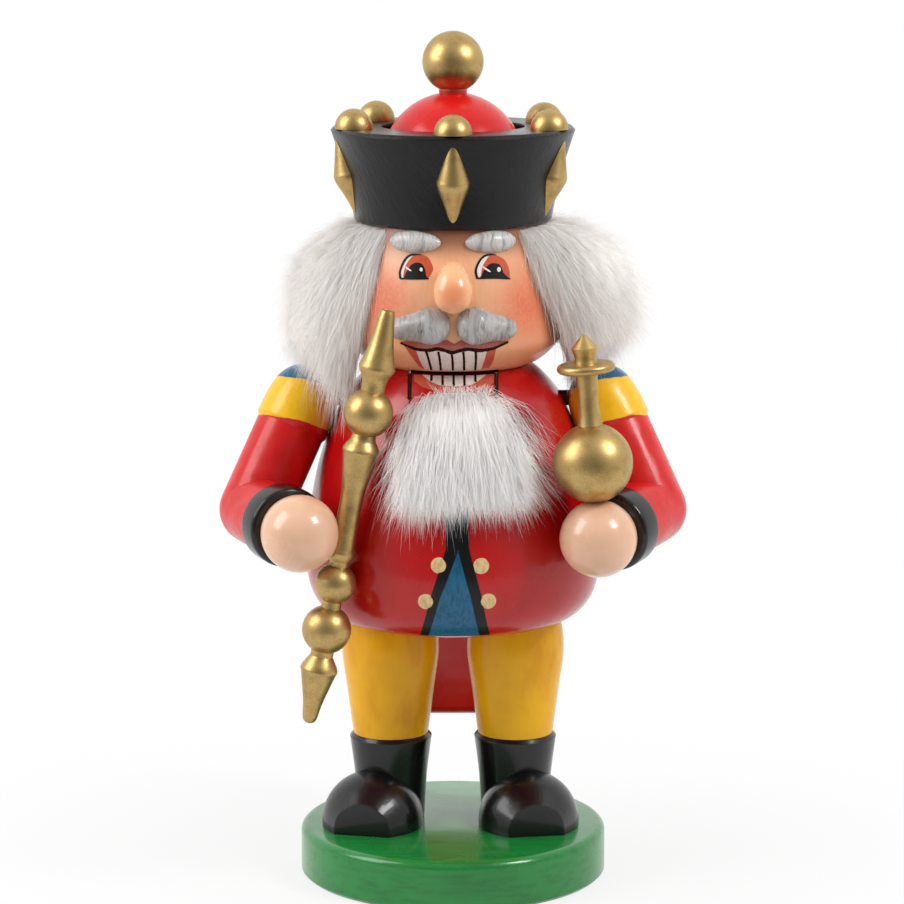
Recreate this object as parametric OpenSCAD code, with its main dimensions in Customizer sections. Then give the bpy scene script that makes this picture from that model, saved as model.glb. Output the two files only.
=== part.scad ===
// Nutcracker figure with a crown, a staff and an orb: turned wood on a round base, with a lever jaw.
// Millimetres. The figure faces -Y, +Z is up, the origin is the middle of the underside of the base.
// Left and right are as seen from in front: left is -X.

/* [Fits] */
// glue line between two glued pieces
glue_gap = 0.05; // [0.02:0.01:0.15]
// clearance beside, above and below the moving lever
lever_gap = 0.4; // [0.3:0.05:0.8]
// radial clearance of the lever on its pin
pin_gap = 0.05; // [0.02:0.01:0.1]

/* [Base] */
// diameter of the base
base_d = 100; // [90:1:130]
// thickness of the base
base_h = 16; // [12:0.5:24]
// rounding of the base's top edge
base_round = 2.5; // [1:0.5:5]

/* [Legs and boots] */
// distance between the two leg axes
leg_spacing = 41; // [37:0.5:46]
// leg axes behind the middle of the base
leg_y = 5; // [0:0.5:10]
// height of the boot shafts
boot_h = 29; // [22:0.5:36]
// diameter of a boot at the base
boot_foot_d = 22; // [18:0.5:25]
// diameter of a boot at its rim
boot_rim_d = 27; // [25:0.5:32]
// length of the legs from boot to body
leg_h = 41; // [34:0.5:60]
// diameter of a leg at the boot
leg_ankle_d = 24.6; // [20:0.2:26]
// largest diameter of a leg
leg_thigh_d = 31.8; // [28:0.2:34]
// diameter of the tenon on top of a leg
leg_tenon_d = 12; // [8:0.5:13]
// length of the tenon on top of a leg
leg_tenon_h = 12; // [8:0.5:16]
// diameter of the dowel from the base into a leg
leg_dowel_d = 8; // [5:0.5:10]

/* [Shoes] */
// width of a shoe
shoe_w = 33; // [28:0.5:36]
// boot axis to the cut toe
shoe_len = 25; // [22:0.5:28]
// turn-out of the left shoe in degrees
shoe_left_out = 13; // [6:1:24]
// turn-out of the right shoe in degrees
shoe_right_out = 9; // [6:1:24]
// how far the left shoe is set outwards from its boot
shoe_left_side = 3.6; // [1:0.1:4.5]
// how far the right shoe is set outwards from its boot
shoe_right_side = 2.7; // [1:0.1:4.5]

/* [Body] */
// height of the body
body_h = 83; // [76:0.5:100]
// diameter of the body's underside
body_foot_d = 72; // [66:0.5:80]
// largest diameter of the body
body_belly_d = 96; // [90:0.5:108]
// diameter of the body's top
body_neck_d = 50; // [47:0.5:54]

/* [Jaw lever] */
// width of the jaw and its lever
jaw_w = 27; // [22:0.5:28]
// height of the jaw's front
jaw_h = 35.5; // [32:0.5:38]
// largest opening of the jaw in degrees
jaw_open = 25; // [15:1:27]
// pin behind the body's axis
pivot_y = 10; // [8:0.5:12]
// pin below the top of the body
pivot_drop = 19; // [17:0.5:22]
// diameter of the pin
pin_d = 6; // [4:0.5:7]
// thickness of the lever's tail
tail_t = 10; // [7:0.5:13]
// space between the belly and the tail
tail_gap = 1; // [0.6:0.1:3]
// height of the tail's lower end above the floor
tail_end = 39; // [32:0.5:60]
// radius of the ball that shapes the nut dish
dish_r = 13; // [11:0.5:13.5]
// depth of the nut dish
dish_depth = 6; // [5:0.5:7]

/* [Head] */
// height of the head
head_h = 46; // [42:0.5:54]
// diameter of the flat under the chin
head_chin_d = 48; // [46:0.5:52]
// largest diameter of the head, at the moustache
head_cheek_d = 70.4; // [66:0.2:76]
// diameter of the head under the crown
head_top_d = 59; // [56:0.5:62]
// diameter of the neck dowels
neck_dowel_d = 6; // [4:0.5:7]
// how far the neck dowels reach into body and head
neck_dowel_h = 13; // [9:0.5:15]

/* [Face] */
// diameter of the nose
nose_d = 12; // [10:0.2:14]
// length of the nose
nose_len = 17; // [14:0.5:20]
// lean of the nose, lower end forward, in degrees
nose_lean = 20; // [10:1:30]
// length of an eyebrow
brow_len = 16.6; // [13:0.2:18]
// thickness of an eyebrow before halving
brow_d = 7.2; // [5:0.2:7.4]
// length of a moustache half
moustache_len = 20; // [15:0.2:21]
// thickness of a moustache half before fitting
moustache_d = 12; // [9:0.2:13]

/* [Hair and beard] */
// thickest part of the hair over the head
hair_t = 23.5; // [14:0.5:26]
// half of the gap left for the face, in degrees
hair_part = 50; // [44:1:60]
// thickest part of the beard over the jaw
beard_t = 10; // [6:0.5:12]
// length of the beard
beard_h = 42; // [36:0.5:44]
// width of the beard
beard_w = 53; // [40:0.5:54]

/* [Crown] */
// height of the crown band
band_h = 30; // [26:0.5:38]
// lower diameter of the crown band
band_foot_d = 63.2; // [62.5:0.2:68]
// upper diameter of the crown band
band_rim_d = 78; // [76:0.5:84]
// diameter of the half ball in the crown
dome_d = 46; // [40:0.5:48]
// how far the half ball stands above the rim
dome_rise = 10.8; // [8:0.2:14]
// diameter of the top ball
ball_d = 19.5; // [16:0.5:24]
// diameter of the beads on the rim
bead_d = 12; // [9:0.5:13]
// places of the beads in degrees, front is 270
bead_at = [270, 337, 27, 90, 139, 198];
// places of the spindles in degrees, front is 270
spindle_at = [270, 337, 28, 90, 139, 193];
// length of a spindle on the band
spindle_len = 26; // [20:0.5:27]
// thickness of a spindle before halving
spindle_d = 10.4; // [6:0.5:11]
// diameter of the pegs of ball and beads
peg_d = 4; // [3:0.2:5]
// diameter of the dowel between head and crown
crown_dowel_d = 10; // [6:0.5:14]

/* [Arms] */
// length of the upper arm, shoulder centre to elbow
arm_len = 39.4; // [37:0.2:43]
// diameter of the arms
arm_d = 22.6; // [20:0.2:24]
// shoulder centre below the top of the body
shoulder_drop = 11.5; // [10:0.5:14]
// spread of the upper arms in degrees
arm_spread = 24.5; // [22:0.5:30]
// forward lean of the upper arms in degrees
arm_forward = 18; // [12:0.5:22]
// elbow to the middle of the hand
forearm_len = 36.2; // [34:0.2:40]
// inward turn of the left forearm in degrees
forearm_left_in = 26; // [22:0.5:28]
// inward turn of the right forearm in degrees
forearm_right_in = 30.5; // [22:0.5:32]
// downward slope of the left forearm in degrees
forearm_left_down = 2.5; // [0:0.5:8]
// downward slope of the right forearm in degrees
forearm_right_down = 5.5; // [0:0.5:8]
// diameter of the cuffs
cuff_d = 25.6; // [24:0.2:27]
// length of the cuffs
cuff_h = 10; // [7:0.5:11]
// diameter of the hands
hand_d = 24.4; // [22:0.2:25]
// diameter of the dowels in shoulder, elbow and wrist
arm_dowel_d = 5; // [3:0.5:6]

/* [Staff and orb] */
// length of the staff
staff_len = 132; // [120:0.5:140]
// diameter of the staff's balls
staff_ball_d = 15.6; // [12:0.2:16]
// diameter of the staff at its waist
staff_waist_d = 7.2; // [6:0.2:8]
// lean of the staff in degrees
staff_lean = 11; // [8:0.5:13]
// staff axis beside the middle of the hand
staff_side = 14; // [13.4:0.2:15]
// staff axis behind the middle of the hand
staff_back = 4.5; // [3:0.5:6]
// length of the staff above the hand
staff_up = 71.5; // [66:0.5:76]
// diameter of the orb
orb_d = 25; // [22:0.5:28]
// inward lean of the orb in degrees
orb_lean = 4.5; // [0:0.5:6]
// height of the orb's finial above the orb
finial_h = 27.5; // [22:0.5:32]
// diameter of the finial's ring
ring_d = 18.2; // [14:0.2:20]

/* [Hidden] */
$fn = 96;

// heights of the joints between the stacked pieces
boot_z = base_h;
leg_z = boot_z + boot_h;
body_z = leg_z + leg_h;
neck_z = body_z + body_h;
crown_z = neck_z + head_h;
rim_z = crown_z + band_h;

// a smooth curve through a few chosen points
function blend(a, b, c, d, t) =
    0.5 * (2 * b + (c - a) * t + (2 * a - 5 * b + 4 * c - d) * t * t + (3 * b - a - 3 * c + d) * t * t * t);
function curve(p, n = 5) = concat(
    [for (i = [0 : len(p) - 2]) for (j = [0 : n - 1])
        blend(p[max(i - 1, 0)], p[i], p[i + 1], p[min(i + 2, len(p) - 1)], j / n)],
    [p[len(p) - 1]]);
// radius of a turned piece at a height
function radius_at(turn, z) = lookup(z, [for (p = turn) [p[1], p[0]]]);
// outline of a turned piece closed on its axis, grown by g
function closed(turn, g = 0) = concat(
    [[0, turn[0][1]]], [for (p = turn) [p[0] + g, p[1]]], [[0, turn[len(turn) - 1][1]]]);
// direction of unit length
function unit(v) = v / norm(v);
// a quarter round from angle a to b
function arc(c, r, a, b, n = 6) = [for (i = [0 : n]) c + r * [cos(a + (b - a) * i / n), sin(a + (b - a) * i / n)]];

module turned(turn, g = 0) rotate_extrude() polygon(closed(turn, g));
// children's Z axis laid from p towards q
module along(p, q) {
    d = q - p;
    translate(p) rotate([0, acos(d[2] / norm(d)), atan2(d[1], d[0])]) children();
}
module rod(p, q, d) along(p, q) cylinder(d = d, h = norm(q - p));
// a plate in the YZ plane, w wide along X
module plate(w, points) rotate([90, 0, 90]) translate([0, 0, -w / 2]) linear_extrude(w) polygon(points);

// turned outlines as [radius, height]
belly = body_belly_d / 2;
body_turn = [for (p = curve([
    [body_foot_d / 2, 0], [0.865 * belly, 0.031 * body_h], [0.963 * belly, 0.115 * body_h],
    [belly, 0.265 * body_h], [0.966 * belly, 0.434 * body_h], [0.909 * belly, 0.602 * body_h],
    [0.826 * belly, 0.747 * body_h], [0.728 * belly, 0.873 * body_h], [0.61 * belly, 0.958 * body_h],
    [body_neck_d / 2, body_h]])) p + [0, body_z]];
cheek = head_cheek_d / 2;
head_turn = [for (p = curve([
    [head_chin_d / 2, 0], [0.82 * cheek, 0.05 * head_h], [0.972 * cheek, 0.17 * head_h],
    [cheek, 0.3 * head_h], [0.957 * cheek, 0.6 * head_h], [head_top_d / 2, head_h]])) p + [0, neck_z]];
band_foot = band_foot_d / 2;
band_rim = band_rim_d / 2;
band_turn = concat(
    [[band_foot - 0.8, crown_z]],
    [for (p = curve([[band_foot, 0.8], [band_foot + 0.4 * (band_rim - band_foot), 0.5 * band_h],
        [band_rim, band_h - 1]])) p + [0, crown_z]],
    [[band_rim - 1, rim_z]]);
boot_turn = concat(
    [for (p = curve([[boot_foot_d / 2, 0], [boot_foot_d / 2 + 0.35 * (boot_rim_d - boot_foot_d) / 2,
        0.5 * boot_h], [boot_rim_d / 2, boot_h - 1.2]])) p + [0, boot_z]],
    [[boot_rim_d / 2 - 1, leg_z]]);
leg_turn = [for (p = curve([
    [leg_ankle_d / 2, 0], [0.405 * leg_thigh_d, 0.1 * leg_h], [0.452 * leg_thigh_d, 0.38 * leg_h],
    [0.5 * leg_thigh_d, 0.66 * leg_h], [0.48 * leg_thigh_d, 0.88 * leg_h],
    [0.42 * leg_thigh_d, leg_h]])) p + [0, leg_z]];

// lever: pin centre, jaw sill and the round back of the slot it sweeps
pin = [pivot_y, neck_z - pivot_drop];
jaw_top = neck_z - lever_gap;
sill_z = neck_z - jaw_h;
sill_y = -radius_at(body_turn, sill_z);
sweep_r = norm([sill_y - pin[0], sill_z - pin[1]]) + lever_gap;
sweep_a = 180 + asin((pin[1] - sill_z + lever_gap) / sweep_r);
floor_z = pin[1] + sweep_r * sin(sweep_a + jaw_open + 2);
slot_w = jaw_w + 2 * lever_gap;
tail_y = belly + tail_gap;
heel_y = pivot_y - 8;
heel_end = [pivot_y + 34, jaw_top - 42 * tan(jaw_open + 2)];

// arms: shoulder, elbow and hand points, s is -1 left and 1 right
shoulder_z = neck_z - shoulder_drop;
shoulder_x = radius_at(body_turn, shoulder_z) + 0.56 * arm_d;
shoulder_y = -1.5;
function shoulder(s) = [s * shoulder_x, shoulder_y, shoulder_z];
function arm_dir(s) = unit([s * tan(arm_spread), -tan(arm_forward), -1]);
function elbow(s) = shoulder(s) + arm_len * arm_dir(s);
function fore_in(s) = s < 0 ? forearm_left_in : forearm_right_in;
function fore_down(s) = s < 0 ? forearm_left_down : forearm_right_down;
function fore_dir(s) = unit([-s * sin(fore_in(s)), -cos(fore_in(s)), -tan(fore_down(s))]);
function hand(s) = elbow(s) + forearm_len * fore_dir(s);
function mitre(s) = unit(arm_dir(s) + fore_dir(s));
cup_sink = 4.4;
cuff_front = forearm_len - hand_d / 2 + cup_sink;
cuff_back = cuff_front - cuff_h;

// staff and orb
staff_dir = [sin(staff_lean), 0, cos(staff_lean)];
staff_mid = hand(-1) + [staff_side * cos(staff_lean), staff_back, -staff_side * sin(staff_lean)];
staff_top = staff_mid + staff_up * staff_dir;
staff_foot = staff_top - staff_len * staff_dir;
orb_dir = [-sin(orb_lean), 0, cos(orb_lean)];
orb_seat = 0.5;
orb_mid = hand(1) + ((hand_d + orb_d) / 2 - orb_seat) * orb_dir;

// base
module base_turned() {
    r = base_d / 2;
    rotate_extrude() polygon(concat(
        [[0, 0], [r - 1, 0], [r, 1]], arc([r - base_round, base_h - base_round], base_round, 0, 90),
        [[0, base_h]]));
}
module base() color("darkgreen") difference() {
    base_turned();
    leg_rods(glue_gap);
}

// legs, boots and shoes
module leg_rods(g = 0) for (s = [-1, 1])
    translate([s * leg_spacing / 2, leg_y, base_h - 10 - g])
        cylinder(d = leg_dowel_d + 2 * g, h = boot_h + 22 + 2 * g);
module leg_dowels() color("burlywood") leg_rods();
module boot(s) color([0.12, 0.12, 0.13]) difference() {
    translate([s * leg_spacing / 2, leg_y, 0]) turned(boot_turn);
    leg_rods(glue_gap);
}
module boot_left() boot(-1);
module boot_right() boot(1);
module leg_tenon(s, g = 0) translate([s * leg_spacing / 2, leg_y, body_z - 1])
    cylinder(d = leg_tenon_d + 2 * g, h = leg_tenon_h + 1 + g);
module leg(s) color("gold") difference() {
    union() {
        translate([s * leg_spacing / 2, leg_y, 0]) turned(leg_turn);
        leg_tenon(s);
    }
    leg_rods(glue_gap);
}
module leg_left() leg(-1);
module leg_right() leg(1);
// an egg lying on the base, its toe cut flat
shoe_r = shoe_w / 2;
shoe_turn = curve([
    [0.88 * shoe_r, 0], [shoe_r, 0.4 * shoe_len], [0.9 * shoe_r, 0.7 * shoe_len],
    [0.56 * shoe_r, shoe_len]]);
module shoe(s, out, side) color([0.12, 0.12, 0.13]) difference() {
    translate([s * (leg_spacing / 2 + side), leg_y, boot_z + 1.5]) rotate([90, 0, s * out]) turned(shoe_turn);
    translate([s * leg_spacing / 2, leg_y, 0]) turned(boot_turn, glue_gap);
    translate([-base_d, -base_d, boot_z - base_d]) cube([2 * base_d, 2 * base_d, base_d]);
}
module shoe_left() shoe(-1, shoe_left_out, shoe_left_side);
module shoe_right() shoe(1, shoe_right_out, shoe_right_side);

// body with the slot for the lever
module pin_rod(g = 0) {
    half = sqrt(pow(radius_at(body_turn, pin[1]), 2) - pow(pin[0], 2)) - 1;
    translate([-half, pin[0], pin[1]]) rotate([0, 90, 0]) cylinder(d = pin_d + 2 * g, h = 2 * half);
}
module pin_bore() {
    half = belly;
    translate([-half, pin[0], pin[1]]) rotate([0, 90, 0]) cylinder(d = pin_d, h = 2 * half);
}
module slot() plate(slot_w, concat(
    [[-2 * belly, neck_z + 1], [-2 * belly, sill_z - lever_gap]],
    arc(pin, sweep_r, sweep_a, sweep_a + jaw_open + 2),
    [[2 * belly, floor_z], [2 * belly, neck_z + 1]]));
module neck_rods(g = 0) for (s = [-1, 1])
    translate([s * (slot_w / 2 + neck_dowel_d / 2 + 2.6), 0, neck_z - neck_dowel_h - g])
        cylinder(d = neck_dowel_d + 2 * g, h = 2 * (neck_dowel_h + g));
module neck_dowels() color("burlywood") neck_rods();
module shoulder_rods(g = 0) {
    depth = 9 + g;
    for (s = [-1, 1]) {
        r = radius_at(body_turn, shoulder_z);
        rod([s * (r - depth), shoulder_y, shoulder_z], [s * (r + depth), shoulder_y, shoulder_z],
            arm_dowel_d + 2 * g);
    }
}
module shoulder_dowels() color("burlywood") shoulder_rods();
module body() color("firebrick") difference() {
    turned(body_turn);
    slot();
    pin_bore();
    neck_rods(glue_gap);
    shoulder_rods(glue_gap);
    leg_tenon(-1, glue_gap);
    leg_tenon(1, glue_gap);
}

// lever: jaw in front, coat tail behind
module jaw_lever() color("crimson") difference() {
    intersection() {
        plate(jaw_w, concat(
            [[-2 * belly, sill_z], [-2 * belly, jaw_top], [heel_y, jaw_top]],
            curve([heel_end, [tail_y + tail_t - 2, heel_end[1] - 19], [tail_y + tail_t, heel_end[1] - 39],
                [tail_y + tail_t - 0.6, tail_end + 0.4 * (floor_z - tail_end)],
                [tail_y + tail_t, tail_end + 4]]),
            arc([tail_y + tail_t - 4, tail_end + 4], 4, 0, -90),
            arc([tail_y + 3, tail_end + 3], 3, -90, -180),
            [[tail_y, floor_z + 1], [pivot_y + 22, floor_z + 6], [pivot_y - 8, sill_z]]));
        union() {
            turned(body_turn);
            translate([-belly, 0, 0]) cube([2 * belly, 4 * belly, neck_z]);
        }
    }
    translate([0, pin[0], pin[1]]) rotate([0, 90, 0])
        cylinder(d = pin_d + 2 * pin_gap, h = 2 * jaw_w, center = true);
    translate([0, -12, jaw_top + dish_r - dish_depth]) sphere(dish_r);
}
module lever_pin() color("burlywood") pin_rod();

// beard: a fur tuft laid on the jaw, its outline cut as seen from in front
module fur_band(turn, inner, thick, z0, z1) {
    n = 12;
    rotate_extrude() polygon(concat(
        [for (i = [0 : n]) let (z = z0 + (z1 - z0) * i / n) [radius_at(turn, z) + inner, z]],
        [for (i = [n : -1 : 0]) let (z = z0 + (z1 - z0) * i / n)
            [radius_at(turn, z) + 1.5 + thick * sqrt(max(0, sin(180 * pow(i / n, 0.8)))), z]]));
}
module beard() {
    top = neck_z - 6;
    w = beard_w / 2;
    outline = curve([
        [0, 0], [-0.34 * w, -0.04 * beard_h], [-0.66 * w, -0.24 * beard_h], [-0.84 * w, -0.5 * beard_h],
        [-0.86 * w, -0.72 * beard_h], [-0.62 * w, -0.9 * beard_h], [0, -beard_h], [0.68 * w, -0.95 * beard_h],
        [1.05 * w, -0.83 * beard_h], [1.1 * w, -0.62 * beard_h], [0.88 * w, -0.36 * beard_h],
        [0.48 * w, -0.06 * beard_h], [0, 0]], 4);
    color("white") intersection() {
        union() {
            fur_band(body_turn, 0.3, beard_t, top - beard_h - 1, top + 1);
            intersection() {
                fur_band(body_turn, glue_gap, 1, sill_z + 1, top - 1);
                translate([1 - jaw_w / 2, -2 * belly, 0]) cube([jaw_w - 2, 2 * belly, 2 * neck_z]);
            }
        }
        translate([0, 0, top]) rotate([90, 0, 0]) linear_extrude(2 * belly) polygon(outline);
    }
}

// head and face
module crown_rod(g = 0) translate([0, 0, crown_z - 10 - g])
    cylinder(d = crown_dowel_d + 2 * g, h = 20 + 2 * g);
module crown_dowel() color("burlywood") crown_rod();
module head() color("peachpuff") difference() {
    turned(head_turn);
    neck_rods(glue_gap);
    crown_rod(glue_gap);
    nose_peg(glue_gap);
}
// a point over the head's surface, x from the middle, z over the chin
function face(x, z, out = 0) =
    let (r = radius_at(head_turn, neck_z + z) + out) [x, -sqrt(r * r - x * x), neck_z + z];
nose_z = 0.63 * head_h;
nose_mid = face(0, nose_z, 0.33 * nose_d);
module nose_peg(g = 0) rod(nose_mid, nose_mid + [0, nose_d + g, 0], peg_d + 2 * g);
module nose() color("sandybrown") {
    r = nose_d / 2;
    difference() {
        translate(nose_mid) rotate([-nose_lean, 0, 0]) rotate([180, 0, 0]) translate([0, 0, -nose_len / 2])
            turned(curve([[0.01, 0], [0.5 * r, 0.1 * nose_len], [0.9 * r, 0.36 * nose_len],
                [r, 0.62 * nose_len], [0.74 * r, 0.88 * nose_len], [0.01, nose_len]], 6));
        turned(head_turn, glue_gap);
    }
    nose_peg();
}
module brow(s) color("gray") difference() {
    a = face(s * 0.114 * cheek, 0.913 * head_h, 0.3);
    b = face(s * 0.545 * cheek, 0.917 * head_h, 0.3);
    along((a + b) / 2, b) translate([0, 0, -brow_len / 2])
        turned(curve([[0.1 * brow_d, 0], [0.34 * brow_d, 0.14 * brow_len], [0.49 * brow_d, 0.42 * brow_len],
            [0.5 * brow_d, 0.6 * brow_len], [0.39 * brow_d, 0.86 * brow_len], [0.16 * brow_d, brow_len]]));
    turned(head_turn, glue_gap);
}
module eyebrow_left() brow(-1);
module eyebrow_right() brow(1);
module moustache(s) color("gray") difference() {
    a = face(s * 0.176 * cheek, 0.362 * head_h, 0.3);
    b = face(s * 0.523 * cheek, 0.326 * head_h, 0.3);
    along(a, b) translate([0, 0, -0.27 * moustache_len])
        turned(curve([[0.01, 0], [0.31 * moustache_d, 0.06 * moustache_len],
            [0.5 * moustache_d, 0.29 * moustache_len], [0.38 * moustache_d, 0.57 * moustache_len],
            [0.31 * moustache_d, 0.8 * moustache_len], [0.2 * moustache_d, 0.96 * moustache_len],
            [0.01, moustache_len]]));
    turned(head_turn, glue_gap);
    translate([s > 0 ? -cheek : 0.4, -2 * cheek, neck_z]) cube([cheek - 0.4, 2 * cheek, head_h]);
}
module moustache_left() moustache(-1);
module moustache_right() moustache(1);
// hair: a fur strip round the sides and back, open at the face
module hair() color("white") {
    low = -1.5;
    high = head_h - 0.6;
    n = 12;
    difference() {
        intersection() {
            rotate([0, 0, 270 + hair_part]) rotate_extrude(angle = 360 - 2 * hair_part) polygon(concat(
                [for (i = [0 : n]) let (z = neck_z + low + (high - low) * i / n)
                    [radius_at(head_turn, z) - 0.5, z]],
                [for (i = [n : -1 : 0]) let (z = neck_z + low + (high - low) * i / n)
                    [radius_at(head_turn, z) + 1 + hair_t * pow(max(0, sin(180 * pow(i / n, 0.9))), 0.5), z]]));
            translate([0.1 * hair_t, 0.3 * hair_t, neck_z + 0.45 * head_h]) sphere(cheek + hair_t);
        }
        turned(head_turn, glue_gap);
        turned(body_turn, glue_gap);
    }
}

// crown
recess_z = rim_z + dome_rise - dome_d / 2;
bead_ring = (dome_d / 2 + band_rim) / 2 + 2;
module crown_band() color([0.1, 0.1, 0.11]) difference() {
    turned(band_turn);
    translate([0, 0, recess_z]) cylinder(d = dome_d + 2 * glue_gap, h = band_h);
    crown_rod(glue_gap);
    for (a = bead_at) rotate([0, 0, a]) translate([bead_ring, 0, rim_z - 0.5 * bead_d])
        cylinder(d = peg_d + 2 * glue_gap, h = bead_d);
}
module crown_dome() color("firebrick") difference() {
    translate([0, 0, recess_z]) intersection() {
        sphere(d = dome_d);
        translate([-dome_d, -dome_d, glue_gap]) cube([2 * dome_d, 2 * dome_d, dome_d]);
    }
    translate([0, 0, rim_z]) cylinder(d = peg_d + 2 * glue_gap, h = 2 * dome_rise);
}
ball_z = rim_z + dome_rise + ball_d / 2 - 0.1;
module crown_ball() color("goldenrod") {
    difference() {
        union() {
            translate([0, 0, ball_z]) sphere(d = ball_d);
            translate([0, 0, rim_z + 0.8 * dome_rise]) cylinder(d = 0.46 * ball_d, h = ball_d / 2);
        }
        translate([0, 0, recess_z]) sphere(d = dome_d + 2 * glue_gap);
    }
    translate([0, 0, rim_z + 0.5]) cylinder(d = peg_d, h = dome_rise + 4);
}
module crown_beads() color("goldenrod") for (a = bead_at) rotate([0, 0, a]) translate([bead_ring, 0, rim_z]) {
    intersection() {
        translate([0, 0, 0.03 * bead_d]) sphere(d = bead_d);
        translate([-bead_d, -bead_d, glue_gap]) cube(2 * bead_d);
    }
    translate([0, 0, -0.46 * bead_d]) cylinder(d = peg_d, h = 0.55 * bead_d);
}
module crown_spindles() color("goldenrod") difference() {
    mid = 0.49 * band_h;
    r = radius_at(band_turn, crown_z + mid);
    flare = atan2(
        radius_at(band_turn, rim_z - 0.1 * band_h) - radius_at(band_turn, crown_z + 0.07 * band_h), 0.83 * band_h);
    for (a = spindle_at) rotate([0, 0, a]) translate([r - 0.1 * spindle_d, 0, crown_z + mid]) rotate([0, flare, 0])
        translate([0, 0, -spindle_len / 2])
            turned(curve([[0.14 * spindle_d, 0], [0.29 * spindle_d, 0.24 * spindle_len],
                [0.46 * spindle_d, 0.44 * spindle_len], [0.5 * spindle_d, 0.53 * spindle_len],
                [0.45 * spindle_d, 0.6 * spindle_len], [0.28 * spindle_d, 0.82 * spindle_len],
                [0.15 * spindle_d, spindle_len]]));
    turned(band_turn, glue_gap);
}

// arms
arm_r = arm_d / 2;
arm_turn = concat(
    curve([[0.01, -0.95 * arm_r], [0.55 * arm_r, -0.8 * arm_r], [0.9 * arm_r, -0.38 * arm_r],
        [1.03 * arm_r, 0.2 * arm_r], [1.06 * arm_r, 0.85 * arm_r]]),
    [[0.99 * arm_r, 0.98 * arm_r]], arc([0, arm_len], arm_r, 0, 89, 10));
module beyond_mitre(s, side, g) along(elbow(s) + side * g * mitre(s), elbow(s) + side * 10 * mitre(s))
    translate([-3 * arm_d, -3 * arm_d, 0]) cube(6 * arm_d);
module elbow_rod(s, g = 0) rod(
    elbow(s) - (1.4 * arm_dowel_d + g) * mitre(s), elbow(s) + (1.4 * arm_dowel_d + g) * mitre(s),
    arm_dowel_d + 2 * g);
module elbow_dowels() color("burlywood") {
    elbow_rod(-1);
    elbow_rod(1);
}
module wrist_rod(s, g = 0) rod(
    elbow(s) + (cuff_back - 1.8 * arm_dowel_d - g) * fore_dir(s), hand(s) + g * fore_dir(s), arm_dowel_d + 2 * g);
module wrist_dowels() color("burlywood") {
    wrist_rod(-1);
    wrist_rod(1);
}
module arm(s) color("red") difference() {
    along(shoulder(s), elbow(s)) turned(arm_turn);
    beyond_mitre(s, 1, glue_gap / 2);
    turned(body_turn, glue_gap);
    shoulder_rods(glue_gap);
    elbow_rod(s, glue_gap);
}
module arm_left() arm(-1);
module arm_right() arm(1);
module forearm(s) color("red") difference() {
    along(elbow(s), hand(s)) turned(concat(arc([0, 0], arm_r, -89, 0, 10), [[arm_r, cuff_back - glue_gap]]));
    beyond_mitre(s, -1, glue_gap / 2);
    elbow_rod(s, glue_gap);
    wrist_rod(s, glue_gap);
}
module forearm_left() forearm(-1);
module forearm_right() forearm(1);
module cuff(s) color([0.12, 0.12, 0.13]) difference() {
    along(elbow(s), hand(s)) translate([0, 0, cuff_back]) rotate_extrude() polygon(concat(
        [[0, 0]], arc([0.42 * cuff_d, 0.08 * cuff_d], 0.08 * cuff_d, -90, 0),
        arc([0.445 * cuff_d, cuff_h - 0.055 * cuff_d], 0.055 * cuff_d, 0, 90), [[0, cuff_h]]));
    translate(hand(s)) sphere(d = hand_d + 2 * glue_gap);
    wrist_rod(s, glue_gap);
}
module cuff_left() cuff(-1);
module cuff_right() cuff(1);

// hands, staff and orb
module staff_turned(g = 0) {
    k = staff_len / 133;
    b = staff_ball_d / 2;
    w = staff_waist_d / 2;
    top = curve([[0.2 * b, -2 * k], [0.3 * b, -1.3 * k], [0.5 * b, 9 * k], [0.74 * b, 16 * k]], 4);
    neck = curve([[0.72 * b, 17 * k], [0.52 * b, 20 * k], [0.48 * b, 23.6 * k]], 3);
    ball_a = arc([0, 30.8 * k], b, -62, 62, 10);
    vase = curve([[0.5 * b, 39.5 * k], [0.74 * b, 42.6 * k], [0.7 * b, 45 * k], [1.02 * w, 57 * k], [w, 66 * k],
        [1.1 * w, 74 * k], [1.25 * w, 76.5 * k], [0.4 * b, 79.5 * k]], 4);
    ball_b = arc([0, 86.6 * k], 0.84 * b, -62, 62, 10);
    ball_c = arc([0, 101.8 * k], b, -66, 62, 10);
    foot = curve([[0.46 * b, 110.5 * k], [0.75 * b, 114.6 * k], [0.69 * b, 117 * k], [0.4 * b, 126 * k],
        [0.28 * b, 131.6 * k], [0.06 * b, 133 * k]], 4);
    along(staff_top, staff_foot) turned(concat(top, neck, ball_a, vase, ball_b, ball_c, foot), g);
}
staff_peg_dir = unit(staff_mid - hand(-1));
module staff_peg(g = 0) rod(
    staff_mid - (hand_d / 2 - 3 + g) * staff_peg_dir, staff_mid - (0.5 - g) * staff_peg_dir, 2.6 + 2 * g);
module scepter_peg() color("burlywood") staff_peg();
module scepter() color("goldenrod") difference() {
    staff_turned();
    staff_peg(glue_gap);
}
module orb_rod(g = 0) rod(
    hand(1) + (hand_d / 2 - 7 - g) * orb_dir, hand(1) + (hand_d / 2 + 7 + g) * orb_dir, peg_d + 2 * g);
module orb_peg() color("burlywood") orb_rod();
module hand_ball(s) translate(hand(s)) sphere(d = hand_d);
module hand_left() color("peachpuff") difference() {
    hand_ball(-1);
    wrist_rod(-1, glue_gap);
    staff_turned(glue_gap);
    staff_peg(glue_gap);
}
module hand_right() color("peachpuff") difference() {
    hand_ball(1);
    wrist_rod(1, glue_gap);
    orb_rod(glue_gap);
}
module finial_tenon(g = 0) rod(
    orb_mid + (orb_d / 2 - 7 - g) * orb_dir, orb_mid + (orb_d / 2 + 1) * orb_dir, peg_d + 2 * g);
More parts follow.
